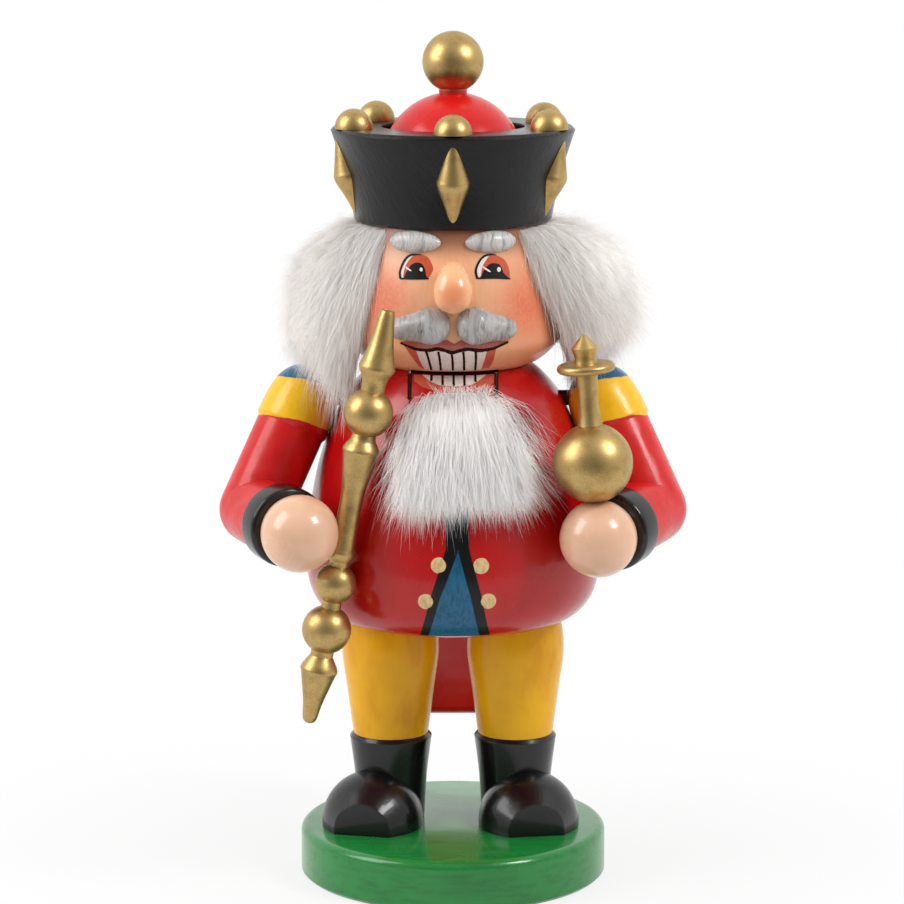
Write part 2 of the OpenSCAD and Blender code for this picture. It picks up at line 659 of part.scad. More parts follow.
module orb_ball() color("goldenrod") difference() {
    translate(orb_mid) sphere(d = orb_d);
    translate(hand(1)) sphere(d = hand_d + 2 * glue_gap);
    orb_rod(glue_gap);
    finial_tenon(glue_gap);
}
module orb_finial() color("goldenrod") {
    k = finial_h / 27.5;
    r = ring_d / 2;
    difference() {
        along(orb_mid, orb_mid + orb_dir) translate([0, 0, orb_d / 2 - 1]) turned(concat(
            curve([[0.44 * r, 0], [0.36 * r, 4 * k], [0.34 * r, 10 * k], [0.38 * r, 16.6 * k]], 4),
            arc([r - 1.4 * k, 18.6 * k], 1.4 * k, -80, 80),
            curve([[0.4 * r, 20.1 * k], [0.37 * r, 22 * k], [0.46 * r, 24.9 * k]], 4),
            [[0.06 * r, 29 * k]]));
        translate(orb_mid) sphere(d = orb_d + 2 * glue_gap);
    }
    finial_tenon();
}

base();
boot_left();
boot_right();
shoe_left();
shoe_right();
leg_left();
leg_right();
leg_dowels();
body();
jaw_lever();
lever_pin();
beard();
head();
neck_dowels();
nose();
eyebrow_left();
eyebrow_right();
moustache_left();
moustache_right();
hair();
crown_band();
crown_dowel();
crown_dome();
crown_ball();
crown_beads();
crown_spindles();
arm_left();
arm_right();
forearm_left();
forearm_right();
shoulder_dowels();
elbow_dowels();
wrist_dowels();
cuff_left();
cuff_right();
hand_left();
hand_right();
scepter();
scepter_peg();
orb_ball();
orb_finial();
orb_peg();
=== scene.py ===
"""King nutcracker figure: paint, fur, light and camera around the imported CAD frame."""
import math

import bmesh
import bpy
import numpy as np
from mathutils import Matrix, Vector


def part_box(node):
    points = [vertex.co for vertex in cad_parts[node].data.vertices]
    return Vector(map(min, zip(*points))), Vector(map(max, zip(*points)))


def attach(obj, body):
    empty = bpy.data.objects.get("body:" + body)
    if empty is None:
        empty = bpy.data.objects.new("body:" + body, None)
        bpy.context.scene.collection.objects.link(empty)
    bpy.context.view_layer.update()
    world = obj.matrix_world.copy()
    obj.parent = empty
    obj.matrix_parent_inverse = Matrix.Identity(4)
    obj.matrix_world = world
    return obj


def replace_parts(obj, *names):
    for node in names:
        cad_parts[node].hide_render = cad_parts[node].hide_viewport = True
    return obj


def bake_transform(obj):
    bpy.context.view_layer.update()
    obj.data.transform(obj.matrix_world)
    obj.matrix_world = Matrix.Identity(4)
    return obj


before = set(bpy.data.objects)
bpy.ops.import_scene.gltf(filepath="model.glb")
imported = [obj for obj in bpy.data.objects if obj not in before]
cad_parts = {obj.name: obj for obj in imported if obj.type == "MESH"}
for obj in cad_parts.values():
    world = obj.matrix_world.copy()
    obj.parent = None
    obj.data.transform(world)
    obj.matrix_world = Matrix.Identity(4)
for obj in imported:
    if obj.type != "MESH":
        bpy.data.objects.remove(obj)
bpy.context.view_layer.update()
scene = bpy.context.scene
MM = 0.001
rng = np.random.default_rng(24)

# Sizes of the turned parts, in millimetres and degrees, as the part's source has them
BODY_Z, BODY_H, BELLY_R, BODY_FOOT_R, BODY_NECK_R = 86.0, 83.0, 48.0, 36.0, 25.0
NECK_Z, HEAD_H, CHEEK_R, CHIN_R, HEAD_TOP_R = 169.0, 46.0, 35.2, 24.0, 29.5
ARM_SPREAD, ARM_FORWARD = 24.5, 18.0
SHOULDER = (47.7, -1.5, 157.5)


def smooth_curve(points, steps=5):
    """Points of a smooth curve through the given ones, each span cut into steps."""
    points = np.asarray(points, float)
    ends = np.vstack([points[:1], points, points[-1:]])
    t = (np.arange(steps) / steps)[:, None]
    spans = []
    for a, b, c, d in zip(ends, ends[1:], ends[2:], ends[3:]):
        bend, twist = 2 * a - 5 * b + 4 * c - d, 3 * b - a - 3 * c + d
        spans.append(b + 0.5 * ((c - a) * t + bend * t**2 + twist * t**3))
    return np.vstack(spans + [points[-1:]])


BODY = smooth_curve([
    (BODY_FOOT_R, 0), (0.865 * BELLY_R, 0.031 * BODY_H), (0.963 * BELLY_R, 0.115 * BODY_H),
    (BELLY_R, 0.265 * BODY_H), (0.966 * BELLY_R, 0.434 * BODY_H), (0.909 * BELLY_R, 0.602 * BODY_H),
    (0.826 * BELLY_R, 0.747 * BODY_H), (0.728 * BELLY_R, 0.873 * BODY_H),
    (0.61 * BELLY_R, 0.958 * BODY_H), (BODY_NECK_R, BODY_H),
]) + (0, BODY_Z)
HEAD = smooth_curve([
    (CHIN_R, 0), (0.82 * CHEEK_R, 0.05 * HEAD_H), (0.972 * CHEEK_R, 0.17 * HEAD_H),
    (CHEEK_R, 0.3 * HEAD_H), (0.957 * CHEEK_R, 0.6 * HEAD_H), (HEAD_TOP_R, HEAD_H),
]) + (0, NECK_Z)


def radius(turn, z):
    """Radius of a turned part at height z."""
    return np.interp(z, turn[:, 1], turn[:, 0])


def on_front(turn, x, z, lift):
    """Points on the front of a turned part, lifted along its normal; x, z and lift may be arrays."""
    r = radius(turn, z)
    slope = (radius(turn, z + 0.3) - radius(turn, z - 0.3)) / 0.6
    y = -np.sqrt(np.maximum(r * r - x * x, 1e-4))
    normal = np.stack([x / r, y / r, -slope * np.ones_like(r)], -1)
    normal /= np.linalg.norm(normal, axis=-1, keepdims=True)
    return np.stack([x, y, z * np.ones_like(r)], -1) + normal * np.asarray(lift)[..., None]


# Materials


def paint(red, green, blue):
    """A colour mixed as screen values from 0 to 255, as the linear colour that shaders take."""
    screen = [c / 255 for c in (red, green, blue)]
    return tuple(c / 12.92 if c < 0.04 else ((c + 0.055) / 1.055) ** 2.4 for c in screen) + (1.0,)


RED, RED_DEEP = paint(212, 22, 20), paint(182, 12, 14)
COAT, COAT_DEEP = paint(188, 15, 16), paint(154, 9, 11)
SHADOW_RED, SHADOW_DEEP = paint(70, 12, 12), paint(48, 8, 8)
BLUE, BLUE_DEEP = paint(26, 96, 132), paint(14, 58, 88)
YELLOW, YELLOW_DEEP = paint(250, 194, 24), paint(232, 160, 14)
STOCKING, STOCKING_DEEP = paint(238, 178, 16), paint(212, 140, 8)
GREEN, GREEN_DEEP = paint(24, 130, 54), paint(14, 94, 36)
BLACK, BLACK_DEEP = paint(15, 14, 15), paint(7, 7, 8)
CROWN, CROWN_DEEP = paint(9, 9, 10), paint(5, 5, 6)
SKIN, SKIN_DEEP = paint(242, 182, 138), paint(228, 152, 108)
# The second of these is painted shade, for under the crown and by the hair
SKIN_SIDE, SKIN_SHADE = paint(224, 130, 88), paint(132, 74, 46)
BLUSH = paint(226, 94, 54)
HAND, HAND_DEEP = paint(230, 184, 152), paint(216, 160, 126)
NOSE, NOSE_DEEP, NOSE_TIP = paint(246, 188, 138), paint(238, 166, 114), paint(230, 118, 70)
GREY, GREY_MID, GREY_DARK = paint(204, 201, 198), paint(184, 180, 178), paint(92, 90, 92)
GOLD, GOLD_DEEP = paint(202, 172, 112), paint(136, 106, 60)
WOOD, WOOD_DEEP = paint(214, 172, 118), paint(176, 126, 76)


def put(tree, socket, value):
    """Links a socket to another one, or sets its value."""
    if isinstance(value, bpy.types.NodeSocket):
        tree.links.new(value, socket)
    else:
        socket.default_value = value


def add_node(tree, kind, inputs, **settings):
    """A new shader node with its settings and inputs, as its outputs."""
    node = tree.nodes.new("ShaderNode" + kind)
    for key, value in settings.items():
        setattr(node, key, value)
    for key, value in inputs.items():
        put(tree, node.inputs[key], value)
    return node.outputs


class Graph:
    """One material, with short calls for its nodes."""

    def __init__(self, name):
        self.material = bpy.data.materials.new(name)
        self.material.use_nodes = True
        self.tree = self.material.node_tree
        self.shader = self.tree.nodes["Principled BSDF"]
        self.place = self.vector("SCALE", self.node("TexCoord", {}, "Object"), Scale=1 / MM)

    def node(self, kind, inputs, output=0, **settings):
        """A new node with its inputs, as the output asked for."""
        return add_node(self.tree, kind, inputs, **settings)[output]

    def vector(self, operation, first, second=(0.0, 0.0, 0.0), output=0, **more):
        """Vector math."""
        return self.node("VectorMath", {0: first, 1: second, **more}, output, operation=operation)

    def math(self, operation, first, second=0.0):
        """Scalar math."""
        return self.node("Math", {0: first, 1: second}, operation=operation)

    def step(self, value, low, high, out_low=0.0, out_high=1.0):
        """value eased from out_low at low to out_high at high."""
        inputs = {
            "Value": value, "From Min": low, "From Max": high, "To Min": out_low, "To Max": out_high}
        return self.node("MapRange", inputs, interpolation_type="SMOOTHSTEP")

    def noise(self, per_mm, detail=2.0, rough=0.5, place=None):
        """Noise with its own number of waves per millimetre along each axis."""
        at = self.vector("MULTIPLY", place or self.place, per_mm)
        return self.node("TexNoise", {"Vector": at, "Scale": 1.0, "Detail": detail, "Roughness": rough})

    def mix(self, amount, first, second):
        """Mixes two colours."""
        return self.node("Mix", {0: amount, 6: first, 7: second}, 2, data_type="RGBA")

    def bump(self, height, depth, under=None):
        """A normal from heights of 0 to 1 that stand for depth millimetres."""
        inputs = {"Height": height, "Distance": depth * MM}
        if under:
            inputs["Normal"] = under
        return self.node("Bump", inputs)

    def finish(self, **inputs):
        """Sets the shader's sockets, named with _ for a space, and gives the material."""
        for key, value in inputs.items():
            put(self.tree, self.shader.inputs[key.replace("_", " ")], value)
        return self.material


# Grain, in waves per millimetre along x, y and z
ALONG_Z, ROUND_Z, EVEN = (0.55, 0.55, 0.045), (0.05, 0.05, 0.7), (0.1, 0.1, 0.1)
BOOT_GRAIN, COAT_GRAIN, LEG_GRAIN = (0.3, 0.3, 0.3), (0.12, 0.12, 0.035), (0.12, 0.12, 0.05)
SLEEVE_GRAIN, CROWN_GRAIN = (0.3, 0.08, 0.3), (0.55, 0.55, 0.14)
SKIN_GRAIN, BASE_GRAIN = (0.7, 0.7, 0.05), (0.06, 0.25, 0.5)


def lacquer(name, colour, deep, grain=ALONG_Z, depth=0.03, gloss=(0.2, 0.34), coat=0.5, streak=0.5,
            shine=0.5, tilt=0.0, uneven=0.0, edge=0.0, mask=None):
    """Brushed lacquer on turned wood.

    depth is the grain's depth and uneven the coat's, in millimetres; gloss the least and most roughness;
    tilt the grain's lean in degrees; edge the radius, in millimetres, that sharp edges are shaded with.
    mask, where given, makes the colours.
    """
    g = Graph(name)
    lean = {"Vector": g.place, "Angle": math.radians(tilt)}
    turned = g.node("VectorRotate", lean, rotation_type="Y_AXIS")
    grains = g.noise(grain, 4.0, 0.65, turned)
    patches = g.noise((0.06, 0.06, 0.06), 3.0)
    pores = g.noise((2.6, 2.6, 2.6), 2.0)
    if mask:
        colour, deep = mask(g)
    worn = g.math("MULTIPLY", g.step(grains, 0.42, 0.72), streak)
    shade = g.math("ADD", worn, g.math("MULTIPLY", g.step(patches, 0.35, 0.75), 0.6 * streak))
    heights = g.math("ADD", g.math("MULTIPLY", grains, 0.75), g.math("MULTIPLY", pores, 0.25))
    eased = g.node("Bevel", {"Radius": edge * MM}) if edge else None
    wavy = g.bump(g.noise((0.11, 0.11, 0.11), 1.0), uneven, eased)
    return g.finish(
        Base_Color=g.mix(shade, colour, deep), Roughness=g.step(patches, 0.3, 0.7, *gloss),
        Specular_IOR_Level=shine, Coat_Weight=coat, Coat_Roughness=0.1,
        Normal=g.bump(heights, depth, wavy))


# The sleeve's yellow band: its borders, as distances along the arm, and how far they lean to the side
BAND_TOP, BAND_FOOT, BAND_LEAN = (-4.4, -4.0), (9.4, 9.7), 0.25


def arm_bands(side):
    """Colours of a sleeve along its axis: blue shoulder, yellow band, red arm."""
    out, front = math.tan(math.radians(ARM_SPREAD)), math.tan(math.radians(ARM_FORWARD))
    axis = Vector((side * out, -front, -1)).normalized()
    along = Vector((side * BAND_LEAN, -front, -1)).normalized()
    scale = axis.dot(along)

    def mask(g):
        from_shoulder = g.vector("SUBTRACT", g.place, (side * SHOULDER[0], SHOULDER[1], SHOULDER[2]))
        down = g.vector("DOT_PRODUCT", from_shoulder, tuple(along), 1)
        wavy = g.math("ADD", down, g.step(g.noise((0.2, 0.2, 0.2)), 0.0, 1.0, -0.5, 0.5))
        first = g.step(wavy, BAND_TOP[0] * scale, BAND_TOP[1] * scale)
        last = g.step(wavy, BAND_FOOT[0] * scale, BAND_FOOT[1] * scale)
        bright = g.mix(last, g.mix(first, BLUE, YELLOW), RED)
        return bright, g.mix(last, g.mix(first, BLUE_DEEP, YELLOW_DEEP), RED_DEEP)

    return mask


CHEEKS, CHEEK_SIZE = ((-21.0, -26.0, 192.0), (22.0, -26.0, 190.5)), 16.0


def face_paint(g):
    """Skin with a blush on both cheeks, warmer to the sides, and painted shade under the crown and by the
    hair.
    """
    def near(spot):
        away = g.vector("SUBTRACT", g.place, spot)
        return g.step(g.vector("LENGTH", away, output=1), 0.0, CHEEK_SIZE, 1.0, 0.0)

    speckle = g.step(g.noise((0.9, 0.9, 0.9), 4.0, 0.7), 0.3, 0.7, 0.55, 1.0)
    cheeks = g.math("ADD", near(CHEEKS[0]), near(CHEEKS[1]))
    blush = g.math("MULTIPLY", g.math("MULTIPLY", cheeks, speckle), 0.85)
    across = g.math("ABSOLUTE", g.node("SeparateXYZ", {0: g.place}, "X"))
    skin = g.mix(g.step(across, 10.0, 32.0, 0.0, 0.8), SKIN, SKIN_SIDE)
    height = g.node("SeparateXYZ", {0: g.place}, "Z")
    # Painted shade: darker under the crown's overhang and along the hair's edge, where shadow falls
    crown_shade, hair_shade = g.step(height, 204.5, 212.5, 0.0, 0.88), g.step(across, 27.5, 34.0, 0.0, 0.7)
    painted_shade = g.math("MAXIMUM", crown_shade, hair_shade)
    bright, deep = g.mix(blush, skin, BLUSH), g.mix(blush, SKIN_DEEP, BLUSH)
    return g.mix(painted_shade, bright, SKIN_SHADE), g.mix(painted_shade, deep, SKIN_SHADE)


def nose_paint(g):
    """The nose, pale at its rim and rosy at its tip."""
    low, high = (np.array(corner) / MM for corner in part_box("nose"))
    tip = (0.5 * (low[0] + high[0]), low[1], low[2] + 0.36 * (high[2] - low[2]))
    away = g.vector("LENGTH", g.vector("SUBTRACT", g.place, tip), output=1)
    share = g.step(away, 1.5, 8.0, 0.62, 0.0)
    return g.mix(share, NOSE, NOSE_TIP), g.mix(share, NOSE_DEEP, NOSE_TIP)


def streaked_grey(name, light, lean, dark_share):
    """Grey brow and moustache paint with dark brush lines and bands across the length."""
    g = Graph(name)
    swirl = g.node("TexNoise", {"Vector": g.place, "Scale": 0.2, "Detail": 1.0}, "Color")
    bent = g.vector("ADD", g.place, g.vector("MULTIPLY", swirl, (3.6, 3.6, 3.6)))
    lines = g.noise((1.25, 0.12, lean), 4.0, 0.72, bent)
    ticks = g.noise((3.4, 0.3, 0.4), 2.0, 0.6, bent)
    bands = g.noise((0.5, 0.1, 0.05), 1.0, 0.5, bent)
    dark = g.math("ADD", g.step(lines, 0.46, 0.7, 0.0, dark_share), g.step(ticks, 0.56, 0.72, 0.0, 0.3))
    dark = g.math("ADD", dark, g.step(bands, 0.5, 0.68, 0.0, 0.6 * dark_share))
    return g.finish(
        Base_Color=g.mix(dark, light, GREY_DARK), Roughness=g.step(lines, 0.3, 0.7, 0.3, 0.5),
        Coat_Weight=0.3, Coat_Roughness=0.15, Normal=g.bump(lines, 0.06))


def gold_paint(name, collar=None):
    """Bronze paint: metal flakes in a lacquer, with faint turning lines; red below a collar's height."""
    g = Graph(name)
    flakes = g.noise((3.0, 3.0, 3.0), 3.0, 0.7)
    clouds = g.noise((0.22, 0.22, 0.22), 3.0)
    lines = g.noise(ROUND_Z, 3.0, 0.6)
    shade = g.math("ADD", g.step(flakes, 0.35, 0.75, 0.0, 0.5), g.step(clouds, 0.4, 0.8, 0.0, 0.4))
    heights = g.math("ADD", g.math("MULTIPLY", flakes, 0.5), g.math("MULTIPLY", lines, 0.5))
    colour, metal = g.mix(shade, GOLD, GOLD_DEEP), 0.95
    if collar:
        above = g.step(g.node("SeparateXYZ", {0: g.place}, "Z"), collar - 0.2, collar + 0.2)
        colour, metal = g.mix(above, RED_DEEP, colour), g.math("MULTIPLY", above, metal)
    return g.finish(
        Base_Color=colour, Metallic=metal, Roughness=g.step(flakes, 0.3, 0.7, 0.32, 0.47),
        Normal=g.bump(heights, 0.03))


def bare_wood():
    """Unpainted dowels."""
    g = Graph("dowel_wood")
    rings = g.noise((0.9, 0.9, 0.08), 4.0, 0.7)
    colour = g.mix(g.step(rings, 0.35, 0.7), WOOD, WOOD_DEEP)
    return g.finish(Base_Color=colour, Roughness=0.62, Normal=g.bump(rings, 0.05))


def enamel(name, colour, deep, rough=0.3, coat=0.5, shine=0.5):
    """Small painted marks laid on with a brush."""
    g = Graph(name)
    strokes = g.noise((1.1, 1.1, 0.35), 3.0, 0.6)
    return g.finish(
        Base_Color=g.mix(g.step(strokes, 0.38, 0.75, 0.0, 0.8), colour, deep),
        Roughness=g.step(strokes, 0.3, 0.7, rough, rough + 0.12), Specular_IOR_Level=shine,
        Coat_Weight=coat, Coat_Roughness=0.12, Normal=g.bump(strokes, 0.03))


def fur(name, root, tip, deep):
    """Fur, tinted at the root, each lock a little different."""
    g = Graph(name)
    along = g.node("Attribute", {}, "Fac", attribute_name="along")
    locks = g.noise((0.35, 0.35, 0.12), 2.0)
    white = g.mix(g.step(locks, 0.4, 0.75), tip, deep)
    colour = g.mix(g.step(along, 0.0, 0.6), root, white)
    return g.finish(
        Base_Color=colour, Roughness=0.6, Specular_IOR_Level=0.2, Sheen_Weight=0.3, Sheen_Roughness=0.5)


# The CAD nodes keep their shapes; their facets are shaded smooth between sharp edges


WELD, SHARP_ANGLE = 0.004 * MM, math.radians(28)


def smooth_shading():
    """A modifier's node group: joins split edges and smooths across all but the sharp ones."""
    group = bpy.data.node_groups.new("smooth_shading", "GeometryNodeTree")
    group.interface.new_socket("Geometry", in_out="INPUT", socket_type="NodeSocketGeometry")
    group.interface.new_socket("Geometry", in_out="OUTPUT", socket_type="NodeSocketGeometry")
    nodes, links = group.nodes, group.links
    weld = nodes.new("GeometryNodeMergeByDistance")
    weld.inputs["Distance"].default_value = WELD
    faces, edges = nodes.new("GeometryNodeSetShadeSmooth"), nodes.new("GeometryNodeSetShadeSmooth")
    edges.domain = "EDGE"
    angle = nodes.new("GeometryNodeInputMeshEdgeAngle")
    soft = nodes.new("FunctionNodeCompare")
    soft.operation = "LESS_THAN"
    soft.inputs["B"].default_value = SHARP_ANGLE
    links.new(angle.outputs["Unsigned Angle"], soft.inputs["A"])
    links.new(soft.outputs["Result"], edges.inputs["Shade Smooth"])
    chain = [nodes.new("NodeGroupInput"), weld, faces, edges, nodes.new("NodeGroupOutput")]
    for first, second in zip(chain, chain[1:]):
        links.new(first.outputs["Geometry"], second.inputs["Geometry"])
    return group


SMOOTH = smooth_shading()


def shade_smooth(piece):
    """Adds the smooth shading to a piece."""
    piece.modifiers.new("smooth_shading", "NODES").node_group = SMOOTH


COLLAR_Z = 256.6
gold_upright = gold_paint("gold_upright")
boot_paint = lacquer(
    "boot_paint", BLACK, BLACK_DEEP, BOOT_GRAIN, 0.05, (0.2, 0.34), 0.3, shine=0.34, edge=0.9)
shoe_paint = lacquer(
    "shoe_paint", BLACK, BLACK_DEEP, BOOT_GRAIN, 0.12, (0.24, 0.4), 0.35, shine=0.34, edge=1.6)
sleeve_red = lacquer(
    "sleeve_red", RED, RED_DEEP, SLEEVE_GRAIN, 0.03, (0.24, 0.38), 0.22, 0.35, 0.3, uneven=0.8)
crown_paint = lacquer(
    "crown_paint", CROWN, CROWN_DEEP, CROWN_GRAIN, 0.3, (0.22, 0.36), 0.12, shine=0.28, tilt=35, edge=1.0)
skin_paint = lacquer(
    "skin_paint", SKIN, SKIN_DEEP, SKIN_GRAIN, 0.03, (0.36, 0.5), 0.25, 0.3, mask=face_paint)
base_paint = lacquer(
    "base_paint", GREEN, GREEN_DEEP, BASE_GRAIN, 0.03, (0.16, 0.28), 0.4, shine=0.36, edge=0.8)
leg_paint = lacquer(
    "leg_paint", STOCKING, STOCKING_DEEP, LEG_GRAIN, 0.04, (0.22, 0.36), 0.1, 0.5, 0.22)
coat_paint = lacquer(
    "coat_paint", COAT, COAT_DEEP, COAT_GRAIN, 0.025, (0.18, 0.3), 0.32, 0.35, 0.3, uneven=0.3)
# Painted shade: the shoulder dowels are a dark red so that the gap between arm and coat reads as shadow
shoulder_shade_paint = lacquer("shoulder_shade_paint", SHADOW_RED, SHADOW_DEEP, shine=0.1, coat=0.0)
dome_paint = lacquer("dome_paint", RED, RED_DEEP, ROUND_Z, 0.05, (0.2, 0.34), 0.12, 0.3, 0.32)
sleeve_paints = [
    lacquer(f"sleeve_{name}_paint", RED, RED_DEEP, ALONG_Z, 0.03, (0.24, 0.38), 0.22, 0.3, 0.3, uneven=0.8,
            mask=arm_bands(side)) for name, side in (("left", -1), ("right", 1))]
nose_lacquer = lacquer(
    "nose_paint", NOSE, NOSE_DEEP, EVEN, 0.02, (0.2, 0.3), 0.5, 0.3, mask=nose_paint)
hand_paint = lacquer("hand_paint", HAND, HAND_DEEP, EVEN, 0.02, (0.24, 0.34), 0.45, 0.25)
FINISHES = {
    base_paint: ["base"],
    boot_paint: ["boot_left", "boot_right", "cuff_left", "cuff_right"],
    shoe_paint: ["shoe_left", "shoe_right"],
    leg_paint: ["leg_left", "leg_right"],
    coat_paint: ["body", "jaw_lever", "lever_pin"],
    shoulder_shade_paint: ["shoulder_dowels"],
    dome_paint: ["crown_dome"],
    sleeve_paints[0]: ["arm_left"],
    sleeve_paints[1]: ["arm_right"],
    sleeve_red: ["forearm_left", "forearm_right"],
    crown_paint: ["crown_band"],
    skin_paint: ["head"],
    nose_lacquer: ["nose"],
    hand_paint: ["hand_left", "hand_right"],
    streaked_grey("brow_paint", GREY, 0.12, 0.55): ["eyebrow_left", "eyebrow_right"],
    streaked_grey("moustache_paint", GREY_MID, 0.25, 0.6): ["moustache_left", "moustache_right"],
    gold_paint("gold_ball", COLLAR_Z): ["crown_ball"],
    gold_upright: ["crown_beads", "crown_spindles", "scepter", "orb_ball", "orb_finial"],
    bare_wood(): ["leg_dowels", "neck_dowels", "crown_dowel", "elbow_dowels",
                  "wrist_dowels", "scepter_peg", "orb_peg"],
}
for material, names in FINISHES.items():
    for name in names:
        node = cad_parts[name]
        node.data.materials.clear()
        node.data.materials.append(material)
        shade_smooth(node)


# Painted marks: thin plates of paint that follow the wood


PAINT_SINK, RING_POINTS = 0.25, 20


def add_piece(name, points, faces, material, body, slot):
    """A new mesh piece from points in millimetres, riding on a body if one is given."""
    mesh = bpy.data.meshes.new(name)
    mesh.from_pydata([tuple(p) for p in np.asarray(points) * MM], [], faces)
    mesh.materials.append(material)
    piece = bpy.data.objects.new(name, mesh)
    scene.collection.objects.link(piece)
    if body:
        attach(piece, body)
    return piece


def cut_up(outline, step):
    """An outline in x and z as small flat faces: points, and the point numbers of faces and of rim edges."""
    flat = bmesh.new()
    flat.faces.new([flat.verts.new((x, 0, z)) for x, z in outline])
    low, high = np.min(outline, 0), np.max(outline, 0)
    for axis, at in ((0, 0), (2, 1)):
        for cut in np.arange(low[at] + step / 2, high[at], step):
            spot, normal = [0, 0, 0], [0, 0, 0]
            spot[axis], normal[axis] = cut, 1
            every = flat.verts[:] + flat.edges[:] + flat.faces[:]
            bmesh.ops.bisect_plane(flat, geom=every, dist=1e-4, plane_co=spot, plane_no=normal)
    bmesh.ops.triangulate(flat, faces=[f for f in flat.faces if len(f.verts) > 4])
    flat.verts.index_update()
    points = np.array([(v.co.x, v.co.z) for v in flat.verts])
    faces = [[v.index for v in f.verts] for f in flat.faces]
    rims = [[v.index for v in e.verts] for e in flat.edges if len(e.link_faces) == 1]
    flat.free()
    return points, faces, rims


def painted(name, outlines, turn, lift, material, body, slot, step=0.9):
    """Paint within outlines, in x and z, on the front of a turned part."""
    points, faces = [], []
    for outline in outlines:
        flat, cells, rims = cut_up(outline, step)
        start, count = sum(map(len, points)), len(flat)
        for height in (lift, -PAINT_SINK):
            points.append(on_front(turn, flat[:, 0], flat[:, 1], np.full(count, height)))
        faces += [[start + i for i in cell] for cell in cells]
        faces += [[start + count + i for i in cell[::-1]] for cell in cells]
        faces += [[start + a, start + b, start + count + b, start + count + a] for a, b in rims]
    piece = add_piece(name, np.vstack(points), faces, material, body, slot)
    mesh = bmesh.new()
    mesh.from_mesh(piece.data)
    bmesh.ops.recalc_face_normals(mesh, faces=mesh.faces)
    mesh.to_mesh(piece.data)
    mesh.free()
    shade_smooth(piece)
    return piece


def stroke(points, width, start=1.0, end=1.0, wobble=0.05):
    """Outline of a brush line through points, its width eased from start to end as shares of width."""
    path = smooth_curve(points)
    run = np.gradient(path, axis=0)
    run /= np.linalg.norm(run, axis=1, keepdims=True)
    half = 0.5 * width * np.interp(np.linspace(0, 1, len(path)), [0, 0.25, 0.75, 1], [start, 1, 1, end])
    half = (half * (1 + wobble * rng.normal(size=len(path))))[:, None]
    side = np.stack([-run[:, 1], run[:, 0]], 1)
    return np.vstack([path + side * half, (path - side * half)[::-1]])


def ring(x, z, across, high):
    """Outline of an oval."""
    turn = np.linspace(0, 2 * math.pi, RING_POINTS, endpoint=False)
    return np.stack([x + across / 2 * np.cos(turn), z + high / 2 * np.sin(turn)], 1)


eye_white = enamel("eye_white", paint(244, 236, 228), paint(224, 212, 202))
eye_orange = enamel("eye_orange", paint(206, 84, 40), paint(176, 62, 30), coat=0.2)
eye_black = enamel("eye_black", paint(14, 13, 16), paint(8, 8, 10), 0.35, 0.0, 0.25)
line_brown = enamel("line_brown", paint(58, 32, 27), paint(40, 23, 20), 0.7, 0.0, 0.0)
lip_rose = enamel("lip_rose", paint(178, 82, 68), paint(156, 62, 54))
lip_orange = enamel("lip_orange", paint(204, 88, 62), paint(182, 68, 48))
tooth_white = enamel("tooth_white", paint(236, 222, 214), paint(214, 196, 188))
panel_blue = enamel("panel_blue", BLUE, BLUE_DEEP, 0.28, 0.12, 0.3)
panel_black = enamel("panel_black", paint(15, 14, 15), paint(9, 8, 9), 0.3, 0.1, 0.25)

EYES = {
    "left": {
        "ball": [(-16.4, 199.7), (-16.6, 201.5), (-16.0, 203.5), (-14.9, 205.6), (-13.5, 206.8),
                 (-11.8, 207.2), (-9.5, 207.2), (-8.0, 206.5), (-6.9, 205.0), (-6.3, 203.2),
                 (-6.9, 201.7), (-7.8, 200.3)],
        "iris": [(-15.6, 200.1), (-15.3, 202.2), (-14.6, 204.1), (-13.3, 206.0), (-11.8, 207.2),
                 (-9.5, 207.3), (-7.9, 206.6), (-6.8, 205.0), (-6.2, 203.2), (-6.8, 201.6), (-7.8, 200.2)],
        "pupil": [(-15.4, 199.8), (-15.0, 201.0), (-13.9, 202.9), (-12.9, 204.2), (-11.1, 204.9),
                  (-9.6, 204.4), (-8.7, 202.9), (-8.4, 201.1), (-7.7, 200.0)],
        "lid": [(-16.4, 199.7), (-16.6, 201.5), (-16.0, 203.5), (-14.9, 205.6), (-13.5, 206.9),
                (-11.8, 207.3), (-9.8, 207.4)],
        "under": [(-16.5, 199.7), (-12.9, 199.9), (-10.1, 200.0), (-7.5, 200.1)],
        "light": [(-14.7, 203.3), (-14.0, 202.8), (-13.0, 202.2)],
        "glint": (-9.9, 202.8, 1.2),
    },
    "right": {
        "ball": [(7.6, 200.2), (7.1, 202.3), (7.6, 204.2), (8.7, 205.9), (10.1, 206.9), (12.0, 207.2),
                 (14.2, 206.6), (15.9, 205.4), (17.0, 203.7), (17.6, 201.7), (17.7, 199.7)],
        "iris": [(8.8, 200.4), (8.9, 202.5), (9.5, 204.4), (10.7, 206.2), (12.0, 207.3), (14.2, 206.7),
                 (16.0, 205.5), (17.1, 203.7), (17.7, 201.7), (17.8, 199.8)],
        "pupil": [(8.4, 200.2), (9.4, 202.2), (10.6, 203.8), (11.7, 204.5), (12.9, 204.6), (14.5, 204.1),
                  (15.3, 202.8), (15.9, 201.3), (17.6, 199.7)],
        "lid": [(7.6, 200.1), (7.1, 202.3), (7.6, 204.2), (8.7, 206.0), (10.1, 207.0), (12.0, 207.3),
                (13.4, 207.1)],
        "under": [(7.5, 200.2), (10.8, 200.2), (14.5, 200.0), (17.9, 199.5)],
        "light": [(9.3, 203.6), (10.6, 202.7), (11.7, 202.0)],
        "glint": (14.3, 202.6, 1.5),
    },
}
